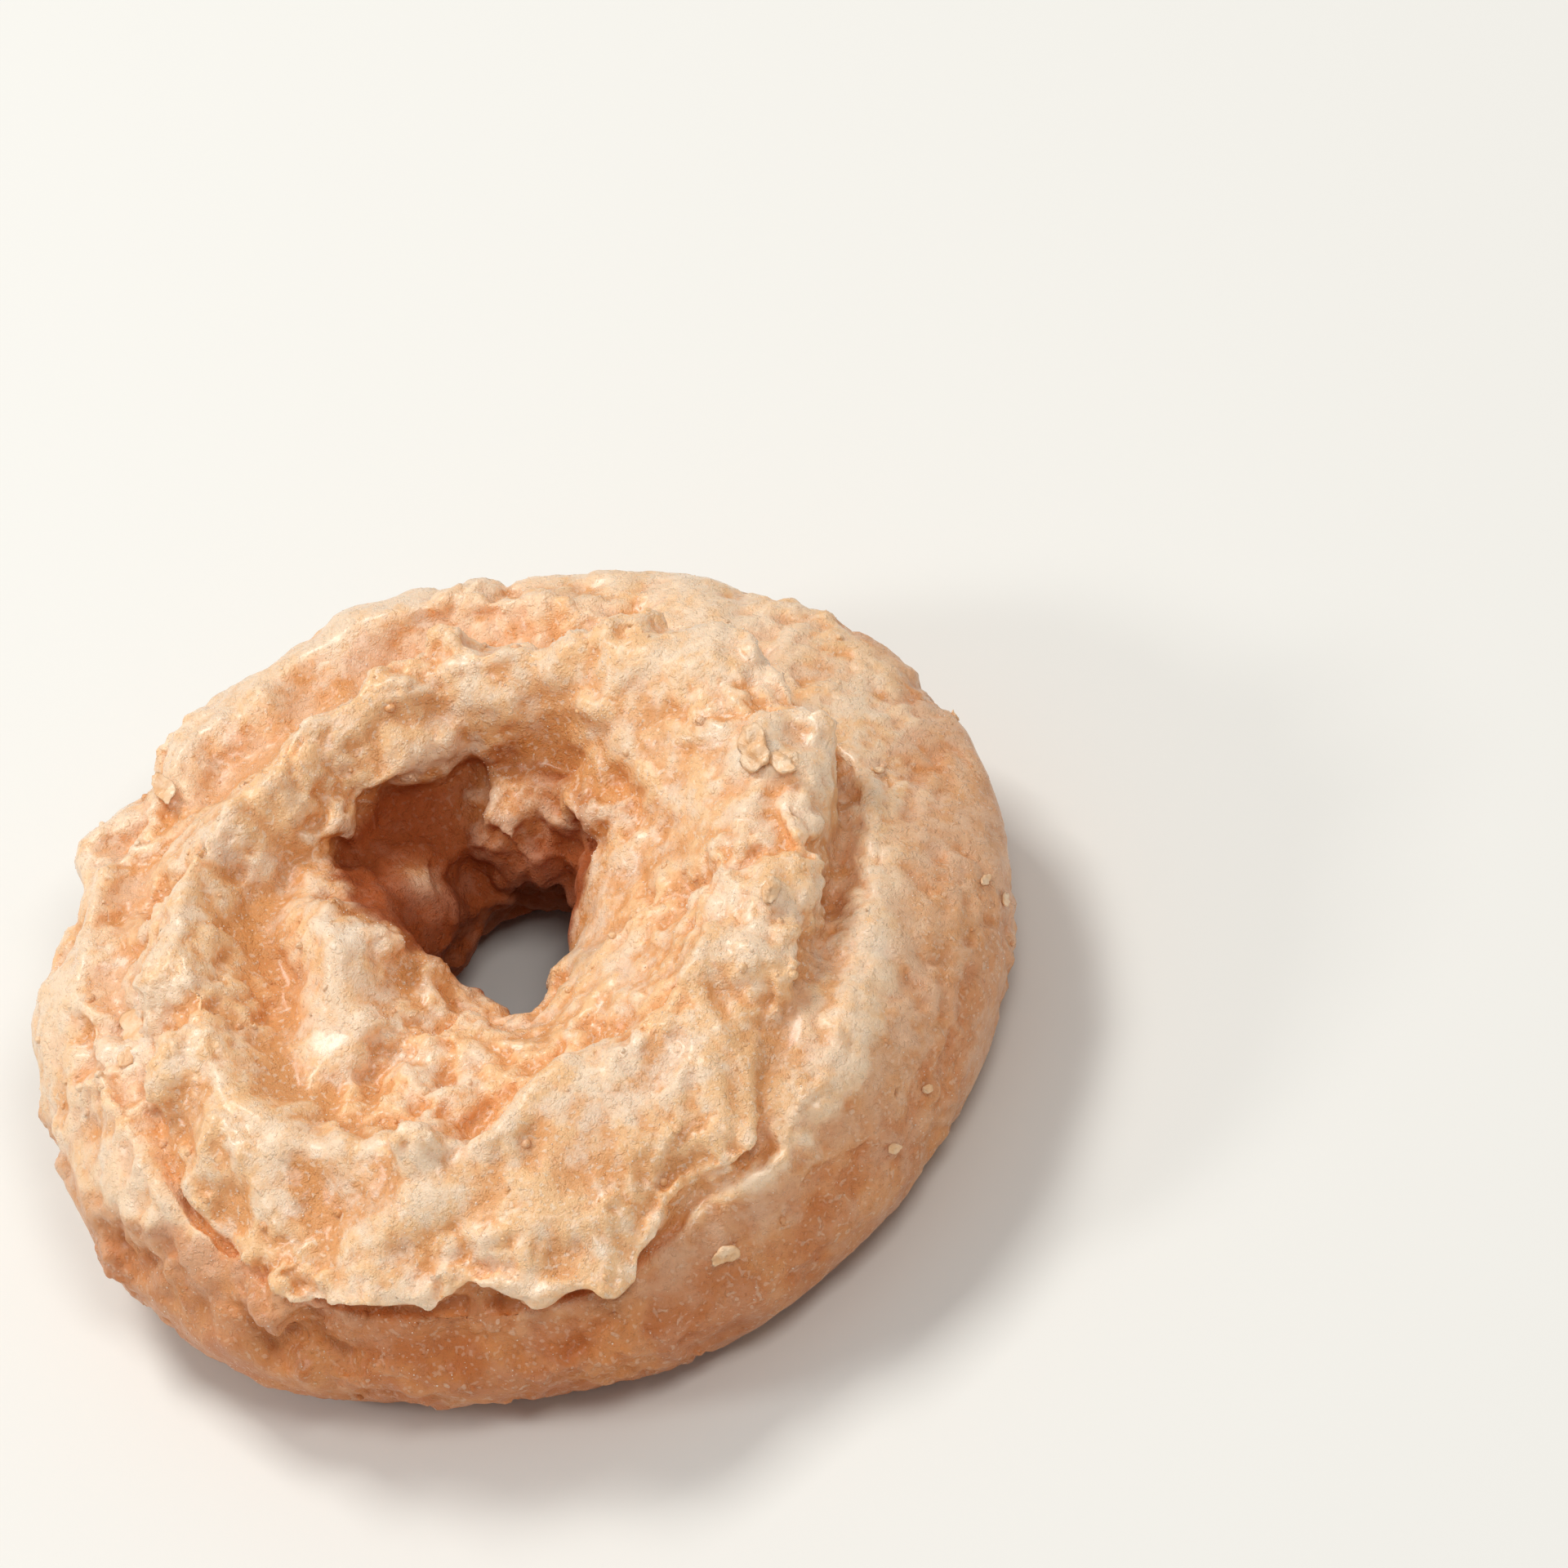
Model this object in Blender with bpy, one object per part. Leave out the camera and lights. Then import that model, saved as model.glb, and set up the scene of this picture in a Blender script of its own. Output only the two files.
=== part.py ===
"""Old fashioned doughnut: one ring of fried cake dough with a torn crown, real size, resting flat.

The ring is lofted through named lines that run round it, each given as a radius and a height
every 30 degrees anticlockwise from +X, seen from above. Lumps and hollows are pushed in or out
of it, crags are added, and the mesh is thinned and cut flat where it rests.
"""

import bmesh
import bpy
import numpy as np

MM = 0.001
SEED = 7

# Moves the ring so that the middle of its bounding box stands over the origin (mm).
OFFSET_X, OFFSET_Y = 0.25, -0.51

# Lines round the ring (mm), from the outer belly over the top and down into the hole.
BELLY_R = (46.0, 45.6, 44.5, 46.0, 46.4, 46.0, 46.4, 46.0, 44.2, 45.2, 44.7, 45.0)
BELLY_Z = (12.5, 14.0, 14.5, 14.0, 14.0, 14.0, 12.5, 11.0, 10.0, 10.0, 10.5, 11.5)
SHOULDER_R = (44.8, 43.6, 41.8, 43.9, 44.6, 44.4, 45.0, 44.4, 43.2, 43.6, 43.6, 43.9)
SHOULDER_Z = (16.5, 20.0, 22.0, 22.2, 22.0, 20.0, 18.5, 15.5, 14.0, 14.0, 18.0, 17.0)
SKIRT_R = (35.6, 34.8, 35.6, 39.0, 39.5, 40.0, 39.5, 41.2, 42.8, 42.2, 41.0, 37.0)
SKIRT_Z = (22.3, 24.0, 25.5, 25.5, 25.0, 24.6, 25.2, 21.0, 17.4, 17.4, 23.0, 22.9)
CRACK_R = (32.8, 31.8, 31.2, 33.5, 34.0, 36.0, 35.0, 40.4, 41.4, 40.8, 36.2, 32.0)
CRACK_Z = (21.6, 22.8, 23.5, 23.3, 23.6, 24.4, 25.0, 20.0, 18.0, 18.0, 24.8, 22.6)
EDGE_R = (34.0, 31.8, 26.4, 25.8, 25.4, 30.6, 32.2, 40.6, 43.4, 42.2, 35.0, 31.8)
EDGE_Z = (29.0, 30.5, 31.6, 31.8, 31.8, 30.0, 29.2, 22.4, 21.2, 21.4, 27.0, 28.4)
CREST_R = (29.5, 27.2, 23.6, 23.4, 23.2, 27.0, 28.0, 32.0, 30.8, 26.0, 25.8, 27.0)
CREST_Z = (31.4, 32.2, 32.4, 32.6, 32.8, 32.2, 31.2, 28.4, 27.8, 28.8, 29.8, 30.8)
VALLEY_R = (22.8, 21.8, 19.0, 17.2, 18.6, 21.4, 21.0, 25.6, 24.0, 22.0, 21.2, 22.2)
VALLEY_Z = (29.0, 29.4, 27.6, 26.5, 27.0, 26.0, 25.2, 25.0, 24.6, 24.6, 27.0, 28.4)
LEDGE_R = (17.4, 16.8, 18.2, 19.6, 18.6, 16.0, 14.8, 15.8, 14.4, 13.0, 14.6, 16.4)
LEDGE_Z = (26.0, 25.2, 22.4, 21.4, 23.0, 27.4, 29.0, 25.6, 23.2, 22.0, 23.6, 25.4)
RIM_R = (6.8, 9.8, 13.4, 14.2, 12.8, 10.4, 8.4, 5.4, 7.6, 7.2, 5.6, 6.0)
RIM_Z = (18.0, 20.0, 19.0, 17.5, 20.0, 24.4, 24.6, 20.0, 18.5, 18.0, 18.0, 17.5)
WAIST_R = (6.6, 9.4, 12.2, 13.2, 11.4, 9.0, 6.6, 5.2, 7.0, 6.8, 5.8, 6.2)

# Lines that run level (mm): the hole's waist, the low lines on both sides, and the foot.
WAIST_Z = 12.0
LOW_Z, LOW_IN, LOW_OUT = 4.2, 4.2, 2.6
FOOT_IN, FOOT_OUT, FOOT_DEPTH = 10.0, 9.5, 0.7

# Share of the way round the section at which each of the fourteen lines stands.
SHARES = (0.0, 0.055, 0.14, 0.168, 0.225, 0.27, 0.335, 0.39, 0.454, 0.536, 0.605, 0.66, 0.853, 0.926)
EDGE_LINE = 4
TENSION = 0.42

# Lumps and hollows: angle (degrees), radius, height, spread, push outward, push up (mm).
FORMS = {
    "back_left_notch": (143, 45.0, 18.5, 3.0, -4.2, -0.6),
    "back_left_corner": (136, 44.6, 21.5, 3.0, 1.0, 1.4),
    "front_left_corner": (222, 42.6, 17.0, 4.0, 1.6, 0.0),
    "left_bulge": (158, 45.5, 19.0, 5.0, 0.6, 0.8),
    "slope_knob": (165, 23.1, 30.0, 2.0, 0.0, 1.2),
    "crown_dish": (125, 25.6, 31.5, 3.0, 0.0, -1.8),
    "crown_pit": (145, 24.0, 30.5, 1.8, 0.0, -1.8),
    "ledge_pit": (145, 15.4, 28.0, 1.8, 0.0, -1.6),
    "back_skirt_knob": (108, 36.0, 25.0, 2.6, 0.0, 1.8),
    "column_lump": (114, 13.2, 15.0, 4.0, -3.4, 0.8),
    "column_foot": (112, 13.5, 7.0, 3.4, -2.6, 0.0),
    "shelf_lump": (72, 15.8, 17.5, 4.2, -3.6, 1.4),
    "wall_cleft": (94, 13.6, 15.0, 2.2, 2.6, -1.0),
    "ear_flap": (41, 20.4, 28.0, 1.8, -0.8, 1.6),
    "block_corner": (46, 13.5, 22.0, 3.0, -1.4, 1.2),
    "block_gap": (52, 18.2, 25.0, 2.6, 0.4, -3.2),
    "glazed_lump": (181, 14.2, 28.0, 5.0, -0.6, 1.0),
    "spiky_lump": (207, 9.6, 22.0, 2.8, -0.6, 1.8),
    "window_lump": (217, 6.4, 17.5, 2.2, -1.4, 0.6),
    "window_left_lump": (168, 6.6, 13.0, 3.0, -1.3, 0.0),
    "window_right_lump": (2, 6.8, 14.0, 3.6, -1.5, 0.0),
    "front_flap": (241, 31.0, 28.4, 2.0, 0.0, 3.0),
    "front_lip": (254, 30.2, 28.6, 2.6, 0.6, 1.4),
    "front_scoop": (250, 26.4, 26.4, 3.2, 0.6, -2.6),
    "front_flap_body": (240, 34.5, 26.0, 3.0, 0.0, 1.0),
    "front_left_dish": (227, 34.6, 25.8, 4.2, 0.0, -1.9),
    "front_edge_tooth": (265, 42.6, 20.8, 2.6, 1.6, -2.6),
    "front_edge_bay": (277, 43.0, 20.8, 2.6, -1.6, 1.4),
    "front_edge_bay_left": (249, 42.8, 20.8, 3.0, -2.0, 1.4),
    "front_right_tooth": (288, 39.6, 24.0, 4.0, 2.2, -1.6),
    "plateau_dip": (301, 38.0, 25.0, 4.0, 0.0, -0.8),
    "left_cliff_lump": (207, 35.0, 26.0, 4.0, 0.8, 1.6),
    "glaze_crust": (355, 27.8, 31.2, 3.2, 0.0, 0.8),
    "edge_knob": (323, 30.0, 30.0, 1.8, 0.4, 1.2),
    "base_crumb": (278, 43.8, 16.5, 1.8, 1.0, 0.4),
    "base_notch": (275, 44.6, 6.0, 1.8, -1.2, 0.0),
}
FORM_EDGE = 1.4

# Crags: size across and depth (mm), and the share of them that each part of the section shows.
# Ledges are steep steps among the crags, and chips are small rounded lumps with creases between.
CRAG_SIZE, CRAG_DEPTH = 7.0, 1.5
LEDGE_SHARE, LEDGE_STEEPNESS = 0.25, 3.0
CHIP_SIZE, CHIP_DEPTH, CHIP_LEVEL = 2.8, 0.7, 0.3
CRAG_SHARES = (0.0, 0.17, 0.21, 0.45, 0.56, 0.66, 0.9, 1.0)
CRAG_WEIGHTS = (0.3, 0.4, 1.0, 1.0, 0.8, 0.2, 0.1, 0.3)
SKIRT_SHARES = (0.9, 0.17)
SKIRT_WRINKLE, WRINKLED_SIDE = 0.45, 165
WARP_SIZE, WARP_DEPTH = 6.0, 2.5

# The torn edge of the crown wanders by this much over this length (mm).
TEAR_DEPTH, TEAR_SIZE = 1.5, 5.0

# Below this height the crags leave the ring's foot as it is (mm).
FOOT_LIMIT, FOOT_SLACK = 1.0, 0.2

RING_SEGMENTS, SECTION_SEGMENTS = 360, 120
TORUS_MAJOR, TORUS_MINOR = 28.0, 15.0
TRIANGLE_SHARE = 0.2
CUTTER_SIDE, CUTTER_DEPTH = 0.2, 0.02
SHARP_ANGLE = 40
COLOUR, ROUGHNESS, METALLIC = (0.78, 0.47, 0.26, 1.0), 0.42, 0.0


def clear_scene():
    for old in list(bpy.data.objects):
        bpy.data.objects.remove(old, do_unlink=True)


def noise(points, size, seed):
    """Smooth random values from -1 to 1 at points, changing over about this size."""
    cell = np.floor(points / size).astype(np.int64)
    t = points / size - cell
    t = t * t * t * (t * (6 * t - 15) + 10)
    total = np.zeros(len(points))
    for corner in np.ndindex(2, 2, 2):
        code = ((cell + corner) * (73856093, 19349663, 83492791)).sum(axis=1) + seed * 6271
        code = (code ^ (code >> 13)) * 1274126177 & 0xFFFFFFFF
        value = ((code ^ (code >> 16)) & 0xFFFF) / 32767.5 - 1.0
        total += value * np.prod(np.where(corner, t, 1 - t), axis=1)
    return total


def round_ring(values, places):
    """A closed line through evenly spaced values, read at places given in knots."""
    values = np.asarray(values, float)
    low = np.floor(places).astype(int)
    t = places - low
    a, b, c, d = (values[(low + k) % len(values)] for k in (-1, 0, 1, 2))
    return b + 0.5 * t * (c - a + t * (2 * a - 5 * b + 4 * c - d + t * (3 * (b - c) + d - a)))


def section_lines(angle):
    """Radius and height of every line at these angles, as arrays (lines, points)."""
    places = angle / (2 * np.pi) * len(BELLY_R)
    belly, waist = round_ring(BELLY_R, places), round_ring(WAIST_R, places)
    level = np.ones_like(places)
    upper_r = (SHOULDER_R, SKIRT_R, CRACK_R, EDGE_R, CREST_R, VALLEY_R, LEDGE_R, RIM_R)
    upper_z = (SHOULDER_Z, SKIRT_Z, CRACK_Z, EDGE_Z, CREST_Z, VALLEY_Z, LEDGE_Z, RIM_Z)
    radii = [belly] + [round_ring(line, places) for line in upper_r]
    radii += [waist, waist + LOW_IN, waist + FOOT_IN, belly - FOOT_OUT, belly - LOW_OUT]
    heights = [round_ring(line, places) for line in (BELLY_Z, *upper_z)]
    heights += [z * level for z in (WAIST_Z, LOW_Z, -FOOT_DEPTH, -FOOT_DEPTH, LOW_Z)]
    edge = radii[EDGE_LINE] * np.array([np.cos(angle), np.sin(angle), 0 * angle])
    tear = TEAR_DEPTH * noise(edge.T, TEAR_SIZE, SEED + 20)
    radii[EDGE_LINE] = radii[EDGE_LINE] + tear
    heights[EDGE_LINE] = heights[EDGE_LINE] + 0.5 * tear
    return np.array(radii), np.array(heights)


def loft(angle, share):
    """Radius and height of the smooth ring at this angle and share of the section."""
    starts = np.array(SHARES)
    ends = np.append(starts[1:], 1.0)
    line = np.clip(np.searchsorted(starts, share, side="right") - 1, 0, len(starts) - 1)
    t = (share - starts[line]) / (ends[line] - starts[line])
    points = np.arange(angle.size)
    found = []
    for values in section_lines(angle):
        a, b, c, d = (values[(line + k) % len(starts), points] for k in (-1, 0, 1, 2))
        leave, arrive = TENSION * (c - a), TENSION * (d - b)
        bend = 3 * (c - b) - 2 * leave - arrive + t * (2 * (b - c) + leave + arrive)
        found.append(b + t * (leave + t * bend))
    return found


def push_forms(angle, radius, height):
    """Adds the lumps and hollows, as pushes outward and upward that fade with distance."""
    x, y = radius * np.cos(angle), radius * np.sin(angle)
    out, up = np.zeros_like(radius), np.zeros_like(radius)
    for degrees, form_r, form_z, spread, push_out, push_up in FORMS.values():
        turn = np.radians(degrees)
        dx, dy, dz = x - form_r * np.cos(turn), y - form_r * np.sin(turn), height - form_z
        weight = np.exp(-(((dx * dx + dy * dy + dz * dz) / spread**2) ** FORM_EDGE))
        out += push_out * weight
        up += push_up * weight
    return radius + out, height + up


def crag_depths(points, angle, share):
    """How far the crags stand out of the smooth ring at each point (mm)."""
    torn = np.interp(share, CRAG_SHARES, CRAG_WEIGHTS)
    on_skirt = (share > SKIRT_SHARES[0]) | (share < SKIRT_SHARES[1])
    turned = 0.5 + 0.5 * np.cos(angle - np.radians(WRINKLED_SIDE))
    torn += SKIRT_WRINKLE * turned * on_skirt
    sway = np.stack([noise(points, WARP_SIZE, SEED + k) for k in range(3)], axis=1)
    warped = points + WARP_DEPTH * sway
    large = 0.5 * noise(warped, CRAG_SIZE, SEED + 5)
    ledges = LEDGE_SHARE * np.tanh(LEDGE_STEEPNESS * noise(warped, 0.6 * CRAG_SIZE, SEED + 6))
    chips = np.abs(noise(warped, CHIP_SIZE, SEED + 9)) - CHIP_LEVEL
    return torn * (CRAG_DEPTH * (large + ledges) + CHIP_DEPTH * chips)


def shape_ring(mesh):
    """Moves the torus's points onto the doughnut."""
    flat = np.empty(len(mesh.vertices) * 3)
    mesh.vertices.foreach_get("co", flat)
    x, y, z = flat.reshape(-1, 3).T
    angle = np.arctan2(y, x) % (2 * np.pi)
    share = np.arctan2(z, np.hypot(x, y) - TORUS_MAJOR) % (2 * np.pi) / (2 * np.pi)
    radius, height = push_forms(angle, *loft(angle, share))
    points = np.stack([radius * np.cos(angle), radius * np.sin(angle), height], axis=1)
    mesh.vertices.foreach_set("co", points.ravel())
    mesh.update()
    mesh.vertices.foreach_get("normal", flat)
    points += flat.reshape(-1, 3) * crag_depths(points, angle, share)[:, None]
    foot = points[:, 2] < FOOT_LIMIT
    points[foot, 2] = np.minimum(points[foot, 2], height[foot] + FOOT_SLACK)
    points += (OFFSET_X, OFFSET_Y, 0.0)
    mesh.vertices.foreach_set("co", (points * MM).ravel())
    mesh.update()


def dough_material():
    material = bpy.data.materials.new("fried_dough")
    material.use_nodes = True
    shader = material.node_tree.nodes["Principled BSDF"]
    shader.inputs["Base Color"].default_value = COLOUR
    shader.inputs["Roughness"].default_value = ROUGHNESS
    shader.inputs["Metallic"].default_value = METALLIC
    return material


def table_cutter(collection):
    """A block below the plane that the doughnut rests on, which cuts its foot flat."""
    mesh = bpy.data.meshes.new("table_cutter")
    block = bmesh.new()
    bmesh.ops.create_cube(block, size=1.0)
    bmesh.ops.scale(block, vec=(CUTTER_SIDE, CUTTER_SIDE, CUTTER_DEPTH), verts=block.verts)
    bmesh.ops.translate(block, vec=(0.0, 0.0, -CUTTER_DEPTH / 2), verts=block.verts)
    block.to_mesh(mesh)
    block.free()
    cutter = bpy.data.objects.new("table_cutter", mesh)
    cutter.hide_render = True
    cutter.display_type = "WIRE"
    collection.objects.link(cutter)
    return cutter


def doughnut(collection, cutter):
    bpy.ops.mesh.primitive_torus_add(
        major_segments=RING_SEGMENTS,
        minor_segments=SECTION_SEGMENTS,
        major_radius=TORUS_MAJOR,
        minor_radius=TORUS_MINOR,
    )
    ring = bpy.context.object
    ring.name = ring.data.name = "doughnut"
    for owner in list(ring.users_collection):
        owner.objects.unlink(ring)
    collection.objects.link(ring)
    shape_ring(ring.data)
    ring.data.materials.append(dough_material())
    thin = ring.modifiers.new("thin", "DECIMATE")
    thin.ratio = TRIANGLE_SHARE
    cut = ring.modifiers.new("table_cut", "BOOLEAN")
    cut.operation = "DIFFERENCE"
    cut.solver = "EXACT"
    cut.object = cutter
    ring.data.shade_smooth()
    ring.data.set_sharp_from_angle(angle=np.radians(SHARP_ANGLE))
    return ring


def new_collection(name):
    collection = bpy.data.collections.new(name)
    bpy.context.scene.collection.children.link(collection)
    return collection


def main():
    clear_scene()
    parts = new_collection("old_fashioned_doughnut")
    cutters = new_collection("cutters")
    doughnut(parts, table_cutter(cutters))


main()
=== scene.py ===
"""Old fashioned doughnut: the looks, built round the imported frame.

The crust is lofted through the same named lines as the solid, torn and pebbled as real mesh,
then closed by a voxel remesh. Dried glaze flakes and crumbs lie on it as pieces of their own.
Lengths inside the shape code are in millimetres, and every mesh is written in metres.
"""

from __future__ import annotations

import logging
import math
from dataclasses import dataclass, field
from enum import Enum
from typing import Callable, Sequence

import bmesh
import bpy
import numpy as np
from mathutils import Matrix, Vector
from mathutils.bvhtree import BVHTree


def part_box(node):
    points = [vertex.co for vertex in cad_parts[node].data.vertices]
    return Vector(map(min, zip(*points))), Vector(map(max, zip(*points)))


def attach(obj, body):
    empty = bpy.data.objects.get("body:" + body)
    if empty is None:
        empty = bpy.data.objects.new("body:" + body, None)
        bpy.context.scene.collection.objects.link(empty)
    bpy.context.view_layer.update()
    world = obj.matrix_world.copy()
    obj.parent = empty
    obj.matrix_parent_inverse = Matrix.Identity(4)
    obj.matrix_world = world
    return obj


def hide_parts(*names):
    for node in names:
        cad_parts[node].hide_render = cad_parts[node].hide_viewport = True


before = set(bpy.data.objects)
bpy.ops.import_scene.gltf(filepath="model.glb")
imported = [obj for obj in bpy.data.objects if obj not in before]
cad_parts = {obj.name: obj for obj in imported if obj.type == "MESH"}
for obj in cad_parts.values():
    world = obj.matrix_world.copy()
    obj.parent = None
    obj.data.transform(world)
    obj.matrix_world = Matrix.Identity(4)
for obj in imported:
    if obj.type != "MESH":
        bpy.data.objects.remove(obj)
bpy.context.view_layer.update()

LOG = logging.getLogger("doughnut")
MM = 0.001
SEED = 7
PEBBLE_MEAN = 0.5
CAD_NODE = "doughnut"

Array = np.ndarray
# Masks kept on the crust. They carry painted shade in the hole, on its rim, in listed spots, in the creases
# and on the brown base's front, and a painted reflection in the glaze.
MASKS = ("hollow", "valley", "brown", "toast_and_shade", "hole_shade", "glaze_and_glint")
TURNED = np.array(Matrix.Rotation(0.7, 3, Vector((0.5, 0.7, 0.4))))
Colour = tuple[float, float, float, float]
Spot = tuple[float, float, float, float]
Socket = bpy.types.NodeSocket


class Grain(Enum):
    """How a layer of relief is patterned."""

    SWELLS = "swells"
    PEBBLES = "pebbles"
    TEARS = "tears"


class Zone(Enum):
    """Which part of the ring a layer of relief covers."""

    CROWN = "crown"
    SKIRT = "skirt"
    BASE = "base"
    ALL = "all"


def hashed(cells: Array, seed: int) -> Array:
    """Gives each grid cell a repeatable random whole number.

    Args:
        cells: whole-number cell corners, one row each.
        seed: which set of numbers to use.

    Returns:
        Numbers from 0 to 2**32 - 1, one for each row.
    """
    code = (cells * (73856093, 19349663, 83492791)).sum(axis=1) + seed * 6271
    code = (code ^ (code >> 13)) * 1274126177 & 0xFFFFFFFF
    return code ^ (code >> 16)


def hashed_vectors(cells: Array, seed: int) -> Array:
    """Gives each grid cell a repeatable random vector.

    Args:
        cells: whole-number cell corners, one row each.
        seed: which set of vectors to use.

    Returns:
        Whole numbers from 0 to 1023, three for each row.
    """
    code = hashed(cells, seed)
    return np.stack([code & 1023, (code >> 10) & 1023, (code >> 20) & 1023], axis=1)


def smooth_noise(points: Array, size: float, seed: int) -> Array:
    """Smooth random values from -1 to 1 that change over about this size.

    Args:
        points: places, one row each.
        size: distance over which the values change.
        seed: which set of random values to use.

    Returns:
        One value for each row.
    """
    cell = np.floor(points / size).astype(np.int64)
    t = points / size - cell
    t = t * t * t * (t * (6 * t - 15) + 10)
    total = np.zeros(len(points))
    for corner in np.ndindex(2, 2, 2):
        value = (hashed(cell + corner, seed) & 0xFFFF) / 32767.5 - 1.0
        total += value * np.prod(np.where(corner, t, 1 - t), axis=1)
    return total


def crumb_noise(points: Array, size: float, seed: int) -> Array:
    """Even random swells, about -1 to 1, with no sign of the grid they are made on.

    Args:
        points: places, one row each.
        size: distance over which the values change.
        seed: which set of swells to use.

    Returns:
        One value for each row.
    """
    place = points @ TURNED / size
    cell = np.floor(place).astype(np.int64)
    t = place - cell
    fade = t * t * t * (t * (6 * t - 15) + 10)
    total = np.zeros(len(points))
    for corner in np.ndindex(2, 2, 2):
        slope = hashed_vectors(cell + corner, seed) / 511.5 - 1
        weight = np.prod(np.where(corner, fade, 1 - fade), axis=1)
        total += weight * (slope * (t - corner)).sum(axis=1)
    return 1.7 * total


def rough_noise(points: Array, size: float, seed: int, octaves: int = 3) -> Array:
    """Smooth noise with finer noise added to it, about -1 to 1.

    Args:
        points: places, one row each.
        size: size of the coarsest noise.
        seed: which set of random values to use.
        octaves: how many sizes are added, each half as large as the last.

    Returns:
        One value for each row.
    """
    total, weight = np.zeros(len(points)), 1.0
    for octave in range(octaves):
        total += weight * crumb_noise(points, size / 2**octave, seed + 31 * octave)
        weight *= 0.5
    return total / (2 - 2 * weight)


def pebble_noise(points: Array, size: float, seed: int, crease: float = 9.0) -> Array:
    """Rounded lumps with creases between them, about -1 in the creases to 1 on top.

    Args:
        points: places, one row each.
        size: distance between lumps.
        seed: which set of lumps to use.
        crease: how sharp the creases are.

    Returns:
        One value for each row.
    """
    place = points / size
    cell = np.floor(place).astype(np.int64)
    total = np.zeros(len(points))
    for corner in np.ndindex(3, 3, 3):
        at = cell + corner - 1
        away = place - at - hashed_vectors(at, seed) / 1023
        total += np.exp(-crease * (away * away).sum(axis=1))
    return np.clip(1.0 + 3.2 * np.log(total + 1e-6) / crease, -1.5, 1.2)


def torn_noise(points: Array, size: float, seed: int, ragged: float = 0.45) -> Array:
    """Flat patches that end in ragged steps, as torn layers of dough do, about -1 to 1.

    Args:
        points: places, one row each.
        size: size of the patches.
        seed: which set of patches to use.
        ragged: how far finer noise eats into the edges.

    Returns:
        One value for each row.
    """
    level = crumb_noise(points, size, seed)
    level += ragged * crumb_noise(points, size * 0.36, seed + 3)
    level += 0.5 * ragged * crumb_noise(points, size * 0.15, seed + 4)
    sparse = ramp(crumb_noise(points, 1.7 * size, seed + 5), -0.25, 0.35)
    return np.tanh(7.0 * level) * sparse


PATTERNS: dict[Grain, Callable[[Array, float, int], Array]] = {
    Grain.SWELLS: rough_noise,
    Grain.PEBBLES: lambda p, size, seed: pebble_noise(p, size, seed) - PEBBLE_MEAN,
    Grain.TEARS: torn_noise,
}


def ramp(values: Array, low: float, high: float) -> Array:
    """Smooth step from 0 at low to 1 at high.

    Args:
        values: numbers to map.
        low: value that gives 0.
        high: value that gives 1, which may be less than low.

    Returns:
        Numbers from 0 to 1.
    """
    t = np.clip((values - low) / (high - low), 0.0, 1.0)
    return t * t * (3 - 2 * t)


@dataclass(frozen=True)
class Form:
    """A lump or a hollow, which pushes the surface round one point (degrees and mm)."""

    degrees: float
    radius: float
    height: float
    spread: float
    out: float
    up: float

    def centre(self) -> Array:
        """Where the form sits, as x, y and z."""
        turn = math.radians(self.degrees)
        return np.array([self.radius * math.cos(turn), self.radius * math.sin(turn), self.height])


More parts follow.
